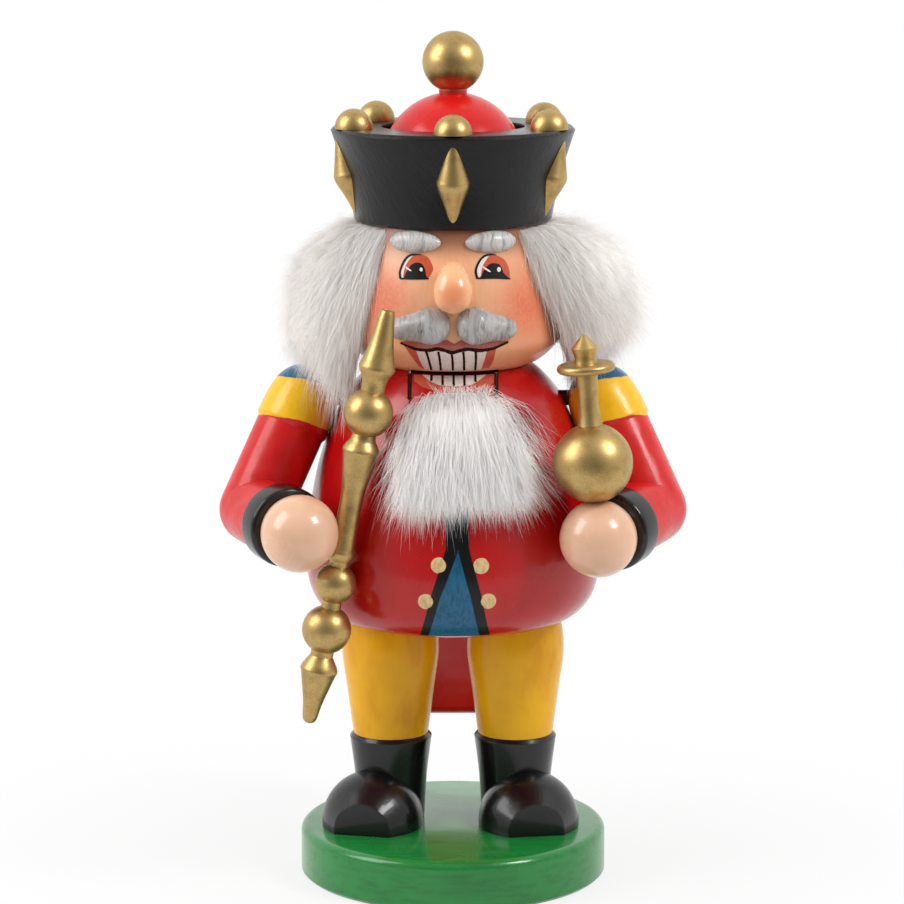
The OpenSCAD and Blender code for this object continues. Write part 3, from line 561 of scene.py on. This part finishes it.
for side, eye in EYES.items():
    domes = {part: smooth_curve(eye[part], 3) for part in ("ball", "iris", "pupil")}
    painted(f"eye_{side}_white", [domes["ball"]], HEAD, 0.05, eye_white, "figure", "brow_grey")
    painted(f"eye_{side}_iris", [domes["iris"]], HEAD, 0.09, eye_orange, "figure", "coat_red")
    painted(f"eye_{side}_pupil", [domes["pupil"]], HEAD, 0.13, eye_black, "figure", "boot_black")
    lines = [stroke(eye["lid"], 0.65, 1.2, 0.3), stroke(eye["under"], 0.6, 0.9, 0.6)]
    painted(f"eye_{side}_lines", lines, HEAD, 0.16, eye_black, "figure", "boot_black")
    x, z, size = eye["glint"]
    glints = [stroke(eye["light"], 0.5, 1.0, 0.4), ring(x, z, 0.8 * size, size)]
    painted(f"eye_{side}_glints", glints, HEAD, 0.17, eye_white, "figure", "brow_grey", 0.5)

LIP_LINE = [(-16.5, 179.7), (-13.7, 178.7), (-10.9, 177.9), (-7.3, 177.8), (-5.1, 178.3), (-2.8, 177.9),
            (-0.3, 177.1), (2.2, 177.8), (4.7, 178.2), (8.3, 177.7), (12.3, 178.1), (15.1, 179.1),
            (17.3, 179.9)]
UPPER_LIP = smooth_curve(LIP_LINE, 3).tolist() + [
    (17.2, 180.4), (13.7, 180.4), (9.4, 180.4), (5.5, 180.7), (2.7, 181.3), (0.4, 180.0), (-2.0, 181.3),
    (-5.6, 180.7), (-9.5, 180.3), (-14.3, 180.4), (-16.2, 180.1)]
MOUTH_LEFT = [(-15.2, 178.8), (-11.5, 177.4), (-10.4, 174.0), (-9.0, 170.8), (-10.4, 171.3),
              (-12.3, 174.2)]
MOUTH_RIGHT = [(10.7, 177.6), (13.5, 178.1), (12.8, 174.2), (11.5, 171.0), (8.9, 170.8), (9.8, 174.0)]
UPPER_TEETH = [(-11.8, 177.6), (-7.3, 177.7), (-5.1, 178.2), (-0.3, 177.0), (4.7, 178.1), (8.3, 177.6),
               (11.0, 177.6), (9.9, 174.0), (9.1, 170.6), (-0.2, 170.3), (-9.2, 170.6), (-10.6, 174.0)]
UPPER_GAPS = [(-8.4, -6.8), (-4.6, -3.8), (-0.5, 0.0), (3.2, 3.5), (7.1, 7.0)]
CHIN_Z, GAP_TOP, GAP_LOW = 169.2, 177.4, 170.5
# The chin line is partly the painted line at the jaw's top and partly painted shade in the crevice under the
# head
CHIN_LINE = [(x, CHIN_Z) for x in (-13.3, -6.0, 0.6, 7.0, 14.4)]
painted("upper_lip", [UPPER_LIP], HEAD, 0.06, lip_rose, "figure", "coat_red")
painted("mouth_corners", [MOUTH_LEFT, MOUTH_RIGHT], HEAD, 0.08, lip_orange, "figure", "coat_red")
painted("upper_teeth", [UPPER_TEETH], HEAD, 0.06, tooth_white, "figure", "brow_grey")
mouth_lines = [stroke(LIP_LINE, 1.15, 0.45, 0.45, 0.08), stroke(CHIN_LINE, 1.15)]
for top, low in UPPER_GAPS:
    path = [(top, GAP_TOP), (0.6 * top + 0.4 * low + 0.12, 174.6), (low, GAP_LOW)]
    mouth_lines.append(stroke(path, 0.75, 1.1, 0.9))
painted("mouth_lines", mouth_lines, HEAD, 0.12, line_brown, "figure", "boot_black", 0.7)

LOWER_LIP = [(-12.4, 168.4), (-12.2, 166.6), (-9.6, 165.2), (-5.7, 164.2), (0.4, 163.8), (6.7, 164.3),
             (10.9, 164.9), (12.8, 166.2), (13.1, 168.4)]
LOWER_TEETH = [(-9.7, 168.4), (-7.4, 166.9), (-4.5, 165.9), (0.4, 165.5), (5.6, 165.8), (7.6, 166.7),
               (10.5, 168.4)]
LOWER_GAPS = [(-6.8, 166.9), (-3.3, 165.9), (0.2, 165.6), (3.6, 165.7), (7.05, 166.6)]
JAW_X, JAW_LINE, SLOT_X, SLOT_LINE = 13.38, 0.62, 14.12, 0.45
PANEL_TOP, PANEL_LINE_LOW = 168.5, 161.5
painted("lower_lip", [LOWER_LIP], BODY, 0.06, lip_orange, "jaw", "coat_red")
painted("lower_teeth", [LOWER_TEETH], BODY, 0.1, tooth_white, "jaw", "brow_grey")
jaw_lines = [stroke([(x, 168.4), (x, 167.2), (x + 0.05, low)], 0.75) for x, low in LOWER_GAPS]
slot_lines = []
for side in (-1, 1):
    for lines, x, width in ((jaw_lines, JAW_X, JAW_LINE), (slot_lines, SLOT_X, SLOT_LINE)):
        middle = 0.5 * (PANEL_TOP + PANEL_LINE_LOW)
        lines.append(stroke([(side * x, z) for z in (PANEL_TOP, middle, PANEL_LINE_LOW)], width))
painted("jaw_lines", jaw_lines, BODY, 0.15, line_brown, "jaw", "boot_black", 0.7)
painted("slot_lines", slot_lines, BODY, 0.1, line_brown, "figure", "boot_black", 0.7)

# The coat's front: a blue wedge between black bands that meet under the beard, and four buttons
OPEN_FOOT, OPEN_TOP, OPEN_X = 87.6, 131.5, 1.6
WEDGE_TOP = (OPEN_X, 116.4)
WEDGE_LEFT = [(-7.8, OPEN_FOOT), (-4.2, 101.0), WEDGE_TOP]
WEDGE_RIGHT = [(8.4, OPEN_FOOT), (5.7, 101.0), WEDGE_TOP]
BAND_LEFT = [(-2.1, OPEN_TOP), (-2.2, 117.0), (-6.9, 102.0), (-10.4, OPEN_FOOT)]
BAND_RIGHT = [(11.6, OPEN_FOOT), (8.9, 102.0), (5.0, 117.0), (4.8, OPEN_TOP)]
wedge = WEDGE_LEFT + WEDGE_RIGHT[1::-1]
painted("coat_wedge", [wedge], BODY, 0.05, panel_blue, "figure", "base_green", 1.2)
middle_top = [(OPEN_X, OPEN_TOP)]
coat_bands = [BAND_LEFT + WEDGE_LEFT + middle_top, BAND_RIGHT + middle_top + WEDGE_RIGHT[::-1]]
painted("coat_bands", coat_bands, BODY, 0.09, panel_black, "figure", "boot_black", 1.2)
BUTTONS = [(-4.4, 111.9), (-8.5, 100.1), (8.8, 111.6), (11.0, 100.1)]
BUTTON_D, BUTTON_RISE, BUTTON_SINK = 5.3, 0.4, 0.12


def button_caps():
    """Domed buttons on the coat, as points and faces."""
    rows, around = 6, 28
    points, faces = [], []
    for x, z in BUTTONS:
        start = len(points)
        for row in range(rows):
            share = math.cos(0.5 * math.pi * row / rows)
            lift = BUTTON_RISE * math.sin(0.5 * math.pi * row / rows) - BUTTON_SINK
            spin = np.linspace(0, 2 * math.pi, around, endpoint=False)
            xs, zs = x + BUTTON_D / 2 * share * np.cos(spin), z + BUTTON_D / 2 * share * np.sin(spin)
            points += on_front(BODY, xs, zs, np.full(around, lift)).tolist()
        middle = np.array([BUTTON_RISE - BUTTON_SINK])
        points += on_front(BODY, np.array([x]), np.array([z]), middle).tolist()
        for row in range(rows - 1):
            for i in range(around):
                low, j = start + row * around, (i + 1) % around
                faces.append([low + i, low + j, low + around + j, low + around + i])
        last, top = start + (rows - 1) * around, start + rows * around
        faces += [[last + i, last + (i + 1) % around, top] for i in range(around)]
        faces.append([start + i for i in range(around)][::-1])
    return points, faces


button_cream = enamel("button_cream", paint(222, 192, 138), paint(184, 146, 92), 0.36, 0.15, 0.4)
shade_smooth(add_piece("coat_buttons", *button_caps(), button_cream, "figure", "gold"))


# Fur: tapered strands of mesh over a soft core


# Points along a strand; the share of its width that it is thick; how far its flat rolls from the fur's
# outside; how far its tip follows the fur's waves
STRAND_KNOTS, STRAND_FLAT, STRAND_ROLL, FUR_WAVE = 5, 0.35, 0.18, 0.7


def strand_mesh(name, paths, widths, facing, pale, core, material, body):
    """Closed, flat, three-sided strands along paths (strand, point, xyz), with a core, as one piece.

    facing is the way each strand's flat lies, more or less, and pale how far its root has the tip's tint.
    The core is points, faces and the shares along a strand that its points are tinted as.
    """
    count, knots = paths.shape[:2]
    run = np.gradient(paths, axis=1)
    run /= np.linalg.norm(run, axis=2, keepdims=True) + 1e-9
    side = np.cross(run, facing[:, None] + rng.normal(scale=STRAND_ROLL, size=(count, 1, 3)))
    side /= np.linalg.norm(side, axis=2, keepdims=True) + 1e-9
    other = STRAND_FLAT * np.cross(side, run)
    taper = np.interp(np.arange(knots - 1) / (knots - 1), [0, 0.3, 0.75, 1], [0.8, 1, 0.75, 0.3])
    size = widths[:, None, None] * taper[None, :, None] / 2
    rings = [paths[:, :-1] + size * (math.cos(a) * side[:, :-1] + math.sin(a) * other[:, :-1])
             for a in (0, 2 * math.pi / 3, 4 * math.pi / 3)]
    points = np.concatenate([np.stack(rings, 2).reshape(count, -1, 3), paths[:, -1:]], 1)
    each = points.shape[1]
    quads = []
    for row in range(knots - 2):
        for i in range(3):
            a, b = 3 * row + i, 3 * row + (i + 1) % 3
            quads.append([a, b, b + 3, a + 3])
    last = 3 * (knots - 2)
    ends = [[last + i, last + (i + 1) % 3, each - 1] for i in range(3)] + [[2, 1, 0]]
    starts = (np.arange(count) * each)[:, None, None]
    faces = (starts + np.array(quads)[None]).reshape(-1, 4).tolist()
    faces += (starts + np.array(ends)[None]).reshape(-1, 3).tolist()
    core_points, core_faces, core_along = core
    faces += [[count * each + i for i in face] for face in core_faces]
    every = np.vstack([points.reshape(-1, 3), core_points])
    piece = add_piece(name, every, faces, material, body, "fur_white")
    along = np.append(np.repeat(np.arange(knots - 1) / (knots - 1), 3), 1.0)
    tints = along + (1 - along) * pale[:, None]
    shares = np.concatenate([tints.ravel(), core_along])
    piece.data.attributes.new("along", "FLOAT", "POINT").data.foreach_set("value", shares)
    piece.data.polygons.foreach_set("use_smooth", np.arange(len(faces)) >= len(faces) - len(core_faces))
    return piece


def outward(surface, first, second, nudge):
    """Unit normals of a surface that is a function of two shares, each nudged by its own step."""
    across = surface(first + nudge[0], second) - surface(first - nudge[0], second)
    up = surface(first, second + nudge[1]) - surface(first, second - nudge[1])
    normal = np.cross(across, up)
    return normal / (np.linalg.norm(normal, axis=-1, keepdims=True) + 1e-9)


def bezier(start, middle, end, t):
    """Points along curves from start to end, bent towards middle, at shares t of the way."""
    return (1 - t)**2 * start + 2 * t * (1 - t) * middle + t**2 * end


def strands(root, bend, tip):
    """Points along many curves at once, as (strand, point, xyz)."""
    t = np.linspace(0, 1, STRAND_KNOTS)[None, :, None]
    return bezier(root[:, None], bend[:, None], tip[:, None], t)


def gather(roots, tips, locks, pull):
    """Tips drawn towards those of the nearest of a few strands, as locks of fur do."""
    guides = rng.choice(len(roots), locks, replace=False)
    nearest = np.argmin(((roots[:, None] - roots[None, guides])**2).sum(2), 1)
    offset = tips[guides][nearest] - roots[guides][nearest] + roots - tips
    closer = tips[guides][nearest] - tips
    return tips + pull * (0.5 * offset + 0.5 * closer)


def shell(outer, inner, along):
    """A closed skin between two grids of points (row, column, xyz): points, faces and shares along."""
    rows, columns = outer.shape[:2]
    number = np.arange(rows * columns).reshape(rows, columns)
    faces = []
    for r in range(rows - 1):
        for c in range(columns - 1):
            quad = [number[r, c], number[r, c + 1], number[r + 1, c + 1], number[r + 1, c]]
            faces.append([int(i) for i in quad])
            faces.append([int(i) + rows * columns for i in quad[::-1]])
    rim = np.concatenate([number[0, :-1], number[:-1, -1], number[-1, :0:-1], number[:0:-1, 0]])
    for a, b in zip(rim, np.roll(rim, -1)):
        faces.append([int(b), int(a), int(a) + rows * columns, int(b) + rows * columns])
    points = np.vstack([outer.reshape(-1, 3), inner.reshape(-1, 3)])
    return points, faces, np.append(along.ravel(), np.zeros(rows * columns))


# Heights of the lowest and topmost roots and tips; how far hair stands off, how much more it does so on the
# right, and the degrees over which it rises from its edge; how fast the root's tint fades from the edge
HAIR_ROOTS, HAIR_TIPS = (177.0, 214.9), (166.0, 212.9)
HAIR_FULL, HAIR_LEAN, HAIR_RISE = 25.2, 4.4, 44.0
FADE_IN = 6.0
# Strands in a tuft, strands in a lock and how far locks close; scatter of tips and bends; where along the
# strands the core's skin lies, and the core's length as a share of theirs
HAIR_STRANDS, HAIR_LOCK, HAIR_PULL = 8600, 16, 0.2
TIP_SCATTER, BEND_SCATTER = 1.9, 1.0
HAIR_CORE, HAIR_CORE_LONG = 0.9, 0.93


def hair_edge(height, side):
    """How far round from the front, in degrees, the hair begins; side is -1 on the left, 1 on the right."""
    left = np.interp(height, [0, 0.25, 0.5, 0.75, 1], [57, 53, 50, 46.5, 42])
    right = np.interp(height, [0, 0.15, 0.35, 0.65, 1], [84, 73, 62, 51, 42])
    return np.where(side < 0, left, right)


def hair_path(turn, height, long, hang=0.0):
    """Root, bend and tip of hairs, and how far inside the edge they are.

    turn is in degrees from the front, height from 0 to 1, long a share of the full length, and hang in
    millimetres.
    """
    side = np.sign(turn)
    inside = np.clip((np.abs(turn) - hair_edge(height, side)) / HAIR_RISE, 0, 1)
    rise = np.sin(0.5 * np.pi * inside)
    root_z = HAIR_ROOTS[0] + (HAIR_ROOTS[1] - HAIR_ROOTS[0]) * height
    tip_z = HAIR_TIPS[0] + (HAIR_TIPS[1] - HAIR_TIPS[0]) * height
    full = (HAIR_FULL + HAIR_LEAN * np.sin(np.radians(turn))) * (0.2 + 0.8 * rise**0.8)
    full = full * (1 - 0.62 * np.clip((height - 0.35) / 0.65, 0, 1)**4) * long
    full = full * (1 - 0.3 * np.clip(1 - height / 0.3, 0, 1)**2)
    edge_drop = np.where(side < 0, 19.0, 17.0)
    drop = (edge_drop + (root_z - tip_z - edge_drop) * rise) * long + hang
    away = side * np.where(side < 0, 5.0, 8.0) * (1 - rise) * long

    def place(angle, r, z):
        a = np.radians(angle)
        return np.stack([r * np.sin(a), -r * np.cos(a), z], -1)

    r = radius(HEAD, root_z) - 0.3
    bend_z = root_z + 2.2 * rise * (1 - height) - 0.25 * drop * (1 - rise)
    bend = place(turn + 0.35 * away, r + 0.9 * full, bend_z)
    return place(turn, r, root_z), bend, place(turn + away, r + full, root_z - drop), inside


def hair_surface(turn, height):
    """The hair's outside."""
    root, bend, tip, _ = hair_path(turn, height, np.ones(np.shape(turn)))
    return bezier(root, bend, tip, HAIR_CORE)


def hair_tuft(name, low_turn, high_turn, count, material):
    """Hair between two angles from the front, as one piece."""
    height = rng.uniform(0, 1, count)
    turn = rng.uniform(low_turn, high_turn, count)
    edge = hair_edge(height, np.sign(turn))
    turn = np.where(np.abs(turn) < edge, np.sign(turn) * (edge + rng.uniform(0, 8, count)), turn)
    facing = outward(hair_surface, turn, height, (1.0, 0.02))
    loose = rng.uniform(0, 1, count) < np.where(turn < 0, 0.09, 0.04)
    wisp = loose * rng.uniform(3, 19, count) * (np.abs(turn) < edge + 26)
    long = 1.05 - 0.17 * rng.uniform(0, 1, count)**1.4
    root, bend, tip, depth = hair_path(turn, height, long, wisp)
    wave = np.stack([np.sin(0.21 * root[:, 2] + 0.13 * root[:, (i + 1) % 3] + i) for i in range(3)], 1)
    tip = gather(root, tip + FUR_WAVE * wave, count // HAIR_LOCK, HAIR_PULL)
    tip = tip + rng.normal(scale=TIP_SCATTER, size=(count, 3))
    bend = bend + rng.normal(scale=BEND_SCATTER, size=(count, 3))
    turns, heights = np.meshgrid(np.linspace(low_turn, high_turn, 40), np.linspace(0.0, 1.0, 24))
    turns = np.sign(turns) * np.maximum(np.abs(turns), hair_edge(heights, np.sign(turns)) + 1)
    c_root, c_bend, c_tip, inside = hair_path(turns, heights, np.full(turns.shape, HAIR_CORE_LONG))
    outer = bezier(c_root, c_bend, c_tip, HAIR_CORE)
    outer = outer + 0.35 * np.sin(1.1 * outer[..., [1, 2, 0]] + 1.5 * outer[..., [2, 0, 1]])
    core = shell(outer, c_root, 0.15 + 0.6 * np.clip(FADE_IN * inside, 0, 1))
    widths = rng.uniform(0.09, 0.15, count)
    pale = np.clip(FADE_IN * depth, 0, 1)
    paths = strands(root, bend, tip)
    return strand_mesh(name, paths, widths, facing, pale, core, material, "figure")


hair_fur = fur("hair_fur", paint(208, 162, 126), paint(252, 249, 246), paint(246, 241, 236))
beard_fur = fur("beard_fur", paint(246, 242, 240), paint(254, 252, 251), paint(248, 244, 242))
TUFTS = {"hair_right_front": (42, 64), "hair_right_temple": (62, 88), "hair_right_side": (85, 124),
         "hair_back_right": (120, 182), "hair_left_front": (-64, -42), "hair_left_temple": (-88, -62),
         "hair_left_side": (-124, -85), "hair_back_left": (-182, -120)}
for name, (low_turn, high_turn) in TUFTS.items():
    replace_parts(hair_tuft(name, low_turn, high_turn, HAIR_STRANDS, hair_fur), "hair")

# Heights of the beard's top, its foot and its lowest roots; how far it stands off, and its half width at
# the top
BEARD_TOP, BEARD_LOW, BEARD_ROOT_LOW = 163.7, 121.8, 138.4
BEARD_LIFT, BEARD_HALF = 9.0, 12.5
# The same for the beard, and the strands of its fringe
BEARD_STRANDS, FRINGE_STRANDS, BEARD_LOCK, BEARD_PULL = 8350, 150, 14, 0.25
BEARD_TIP_SCATTER, BEARD_BEND_SCATTER = 2.0, 1.5
BEARD_CORE, BEARD_CORE_LONG, BEARD_CORE_TINT = 0.7, 0.86, 0.8


def beard_lift(z):
    """How far the beard stands off the coat at height z."""
    share = np.clip((z - BEARD_LOW) / (BEARD_TOP + 2 - BEARD_LOW), 0, 1)
    return 1.0 + BEARD_LIFT * np.sqrt(np.sin(np.pi * share**0.85).clip(0, 1))


def beard_path(across, down, long, layer, spread=1.0, swing=0.0):
    """Root, bend and tip of beard hairs.

    across runs from -1 to 1 and down from 0 at the top to 1; long, layer and spread are shares of the usual
    length, height and fan; swing is in degrees.
    """
    x = 1.2 + 0.4 * down + (BEARD_HALF + 1.4 * np.clip(down, 0, 1)**0.7) * across
    z = BEARD_TOP - (BEARD_TOP - BEARD_ROOT_LOW) * down - 3.8 * across**4 * (1 - down)
    fan = np.radians(np.where(across < 0, 9, 24) * across * spread + swing)
    length = np.interp(down, [0, 0.5, 1], [21, 20, 12.6]) * long
    tip_x, tip_z = x + length * np.sin(fan), z - length * np.cos(fan)
    mid_x, mid_z = 0.6 * x + 0.4 * tip_x, 0.7 * z + 0.3 * tip_z
    puff = 7.0 * (1 - down)**3
    root = on_front(BODY, x, z, np.full(np.shape(x), 0.1))
    bend = on_front(BODY, mid_x, mid_z + puff, 1.1 * layer * beard_lift(mid_z))
    return root, bend, on_front(BODY, tip_x, tip_z, 0.5 + 0.9 * layer * beard_lift(tip_z))


def beard_surface(down, across):
    """The beard's outside."""
    full = np.ones(np.shape(across))
    return bezier(*beard_path(across, down, full, full), 0.8)


def beard_piece(count, fringe):
    """The beard, with a short fringe over the lip."""
    across = rng.uniform(-1, 1, count)
    down = rng.uniform(0, 1, count)**0.85
    long = 1.08 - 0.25 * rng.uniform(0, 1, count)**1.5
    strays = 0.03 + 0.2 * (across > 0.75) + 0.3 * (across < -0.75) + 0.14 * (down > 0.6)
    stray = rng.uniform(0, 1, count) < strays
    layer = np.where(stray, rng.uniform(0.3, 0.9, count), rng.uniform(0.82, 1.06, count))
    spread = np.where(stray, rng.uniform(1.0, 2.0, count), rng.uniform(0.8, 1.1, count))
    spread = np.where(stray & (across < 0), 1.4 * spread, spread)
    long = np.where(stray, long * rng.uniform(1.0, 1.65, count), long)
    swing = rng.normal(scale=np.where(stray, 11, 10), size=count)
    root, bend, tip = beard_path(across, down, long, layer, spread, swing)
    wave = np.stack([np.sin(0.3 * root[:, 0] + 0.2 * root[:, 2] + 2 * i) for i in range(3)], 1)
    tip = gather(root, tip + FUR_WAVE * wave, count // BEARD_LOCK, BEARD_PULL)
    tip = tip + rng.normal(scale=BEARD_TIP_SCATTER, size=(count, 3))
    bend = bend + rng.normal(scale=BEARD_BEND_SCATTER, size=(count, 3))
    x, z = rng.uniform(-5.0, 11.5, fringe), BEARD_TOP - rng.uniform(0.4, 2.0, fringe)
    lean, up, out = (rng.normal(scale=scale, size=fringe) for scale in (1.4, 0.8, 0.6))
    top_root = on_front(BODY, x, z, np.full(fringe, 0.6))
    top_bend = on_front(BODY, x + 0.4 * lean, z + 1.2, 1.8 + 0.4 * out)
    top_tip = on_front(BODY, x + lean, np.minimum(z + 2.0 + 0.6 * up, BEARD_TOP + 1.0), 2.4 + out)
    paths = np.vstack([strands(root, bend, tip), strands(top_root, top_bend, top_tip)])
    columns, rows = 24, 24
    acrosses, downs = np.meshgrid(np.linspace(-0.88, 0.88, columns), np.linspace(0.0, 1.0, rows))
    layers = 0.9 - 0.35 * acrosses**4 - 0.2 * downs**4
    c_root, c_bend, c_tip = beard_path(acrosses, downs, np.full((rows, columns), BEARD_CORE_LONG), layers)
    outer = bezier(c_root, c_bend, c_tip, BEARD_CORE)
    core = shell(outer, c_root, np.full((rows, columns), BEARD_CORE_TINT))
    thin = np.append(np.where(stray, 0.75, 1.0), np.ones(fringe))
    widths = rng.uniform(0.1, 0.17, count + fringe) * thin
    ahead = np.tile((0.0, -1.0, 0.0), (fringe, 1))
    facing = np.vstack([outward(beard_surface, down, across, (0.02, 0.02)), ahead])
    pale = np.zeros(count + fringe)
    return strand_mesh("beard_strands", paths, widths, facing, pale, core, beard_fur, None)


# The beard, rooted on the coat's front under the mouth and resting on the coat below
beard = beard_piece(BEARD_STRANDS, FRINGE_STRANDS)
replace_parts(beard, "beard")
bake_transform(beard)


# Stage, light and camera, in metres


# Strength of the room's light straight ahead of the figure, beside that, and behind
ROOM = (0.15, 0.6, 0.9)
LAMP_TARGET = Vector((0, 0, 0.15))
FLOOR_WIDE, FLOOR_FRONT = 3.0, -0.4
# How white the floor is to the camera under the figure, and the millimetres between which it turns all white
FLOOR_LEAST, FLOOR_NEAR, FLOOR_FAR = 0.78, 70.0, 220.0
CAMERA_PLACE, CAMERA_DOWN = (0, -1.124, 0.341), 10.17
PHOTO_SIZE, FOCAL_PIXELS = 904, 3523


def softbox(name, place, size, watts):
    """A soft rectangular lamp aimed at the figure."""
    lamp = bpy.data.lights.new(name, "AREA")
    lamp.shape, lamp.size, lamp.size_y, lamp.energy = "RECTANGLE", size[0], size[1], watts
    piece = bpy.data.objects.new(name, lamp)
    scene.collection.objects.link(piece)
    piece.location = place
    piece.rotation_euler = (LAMP_TARGET - piece.location).to_track_quat("-Z", "Y").to_euler()


def studio_world():
    """White for the camera; as light a dim room in front, and a backdrop that glossy rays see as white."""
    world = bpy.data.worlds.new("studio")
    world.use_nodes = True
    scene.world = world
    tree = world.node_tree
    back = tree.nodes["Background"]
    back.inputs["Color"].default_value = (1, 1, 1, 1)
    depth = add_node(tree, "SeparateXYZ", {0: add_node(tree, "TexCoord", {})["Generated"]})["Y"]

    def ramp(low, high, out_low=0.0, out_high=1.0):
        inputs = {
            "Value": depth, "From Min": low, "From Max": high, "To Min": out_low, "To Max": out_high}
        return add_node(tree, "MapRange", inputs)[0]

    room = ramp(-0.6, 0.6, ramp(-1.0, -0.6, ROOM[0], ROOM[1]), ROOM[2])
    rays = add_node(tree, "LightPath", {})
    mirrors = {0: rays["Is Glossy Ray"], 1: rays["Is Transmission Ray"]}
    mirrored = add_node(tree, "Math", mirrors, operation="MAXIMUM")[0]
    whites = {0: mirrored, 1: ramp(0.2, 0.5), 2: rays["Is Camera Ray"]}
    white = add_node(tree, "Math", whites, operation="MULTIPLY_ADD")[0]
    strength = add_node(tree, "Mix", {0: white, 2: room, 3: 1.0})
    tree.links.new(strength[0], back.inputs["Strength"])


def pale_floor():
    """A pale floor that keeps the figure's shadow and turns white for the camera away from it."""
    g = Graph("floor_white")
    g.finish(Base_Color=(0.75, 0.75, 0.75, 1), Roughness=0.7)
    glow = g.node("Emission", {})
    rays = add_node(g.tree, "LightPath", {})
    seen = g.math("MAXIMUM", rays["Is Camera Ray"], rays["Is Glossy Ray"])
    seen = g.math("MAXIMUM", seen, rays["Is Transmission Ray"])
    from_middle = g.vector("LENGTH", g.place, output=1)
    away = g.step(from_middle, FLOOR_NEAR, FLOOR_FAR, FLOOR_LEAST, 1.0)
    share = g.math("MULTIPLY", seen, away)
    both = g.node("MixShader", {0: share, 1: g.shader.outputs[0], 2: glow})
    put(g.tree, g.tree.nodes["Material Output"].inputs["Surface"], both)
    mesh = bpy.data.meshes.new("floor")
    corners = [(-FLOOR_WIDE, FLOOR_FRONT, 0), (FLOOR_WIDE, FLOOR_FRONT, 0),
               (FLOOR_WIDE, FLOOR_WIDE, 0), (-FLOOR_WIDE, FLOOR_WIDE, 0)]
    mesh.from_pydata(corners, [], [(0, 1, 2, 3)])
    mesh.materials.append(g.material)
    floor = bpy.data.objects.new("floor", mesh)
    scene.collection.objects.link(floor)


studio_world()
pale_floor()
softbox("softbox_left", (-0.76, -0.22, 0.68), (0.5, 0.7), 5.5)
softbox("softbox_right", (0.66, -0.36, 0.80), (0.24, 0.3), 5.0)

camera_data = bpy.data.cameras.new("camera")
camera_data.sensor_width = 36.0
camera_data.lens = FOCAL_PIXELS / PHOTO_SIZE * camera_data.sensor_width
camera_data.shift_x = -1 / PHOTO_SIZE
camera = bpy.data.objects.new("camera", camera_data)
scene.collection.objects.link(camera)
camera.location = CAMERA_PLACE
camera.rotation_euler = (math.radians(90 - CAMERA_DOWN), 0, 0)
scene.camera = camera
scene.view_settings.view_transform = "Standard"
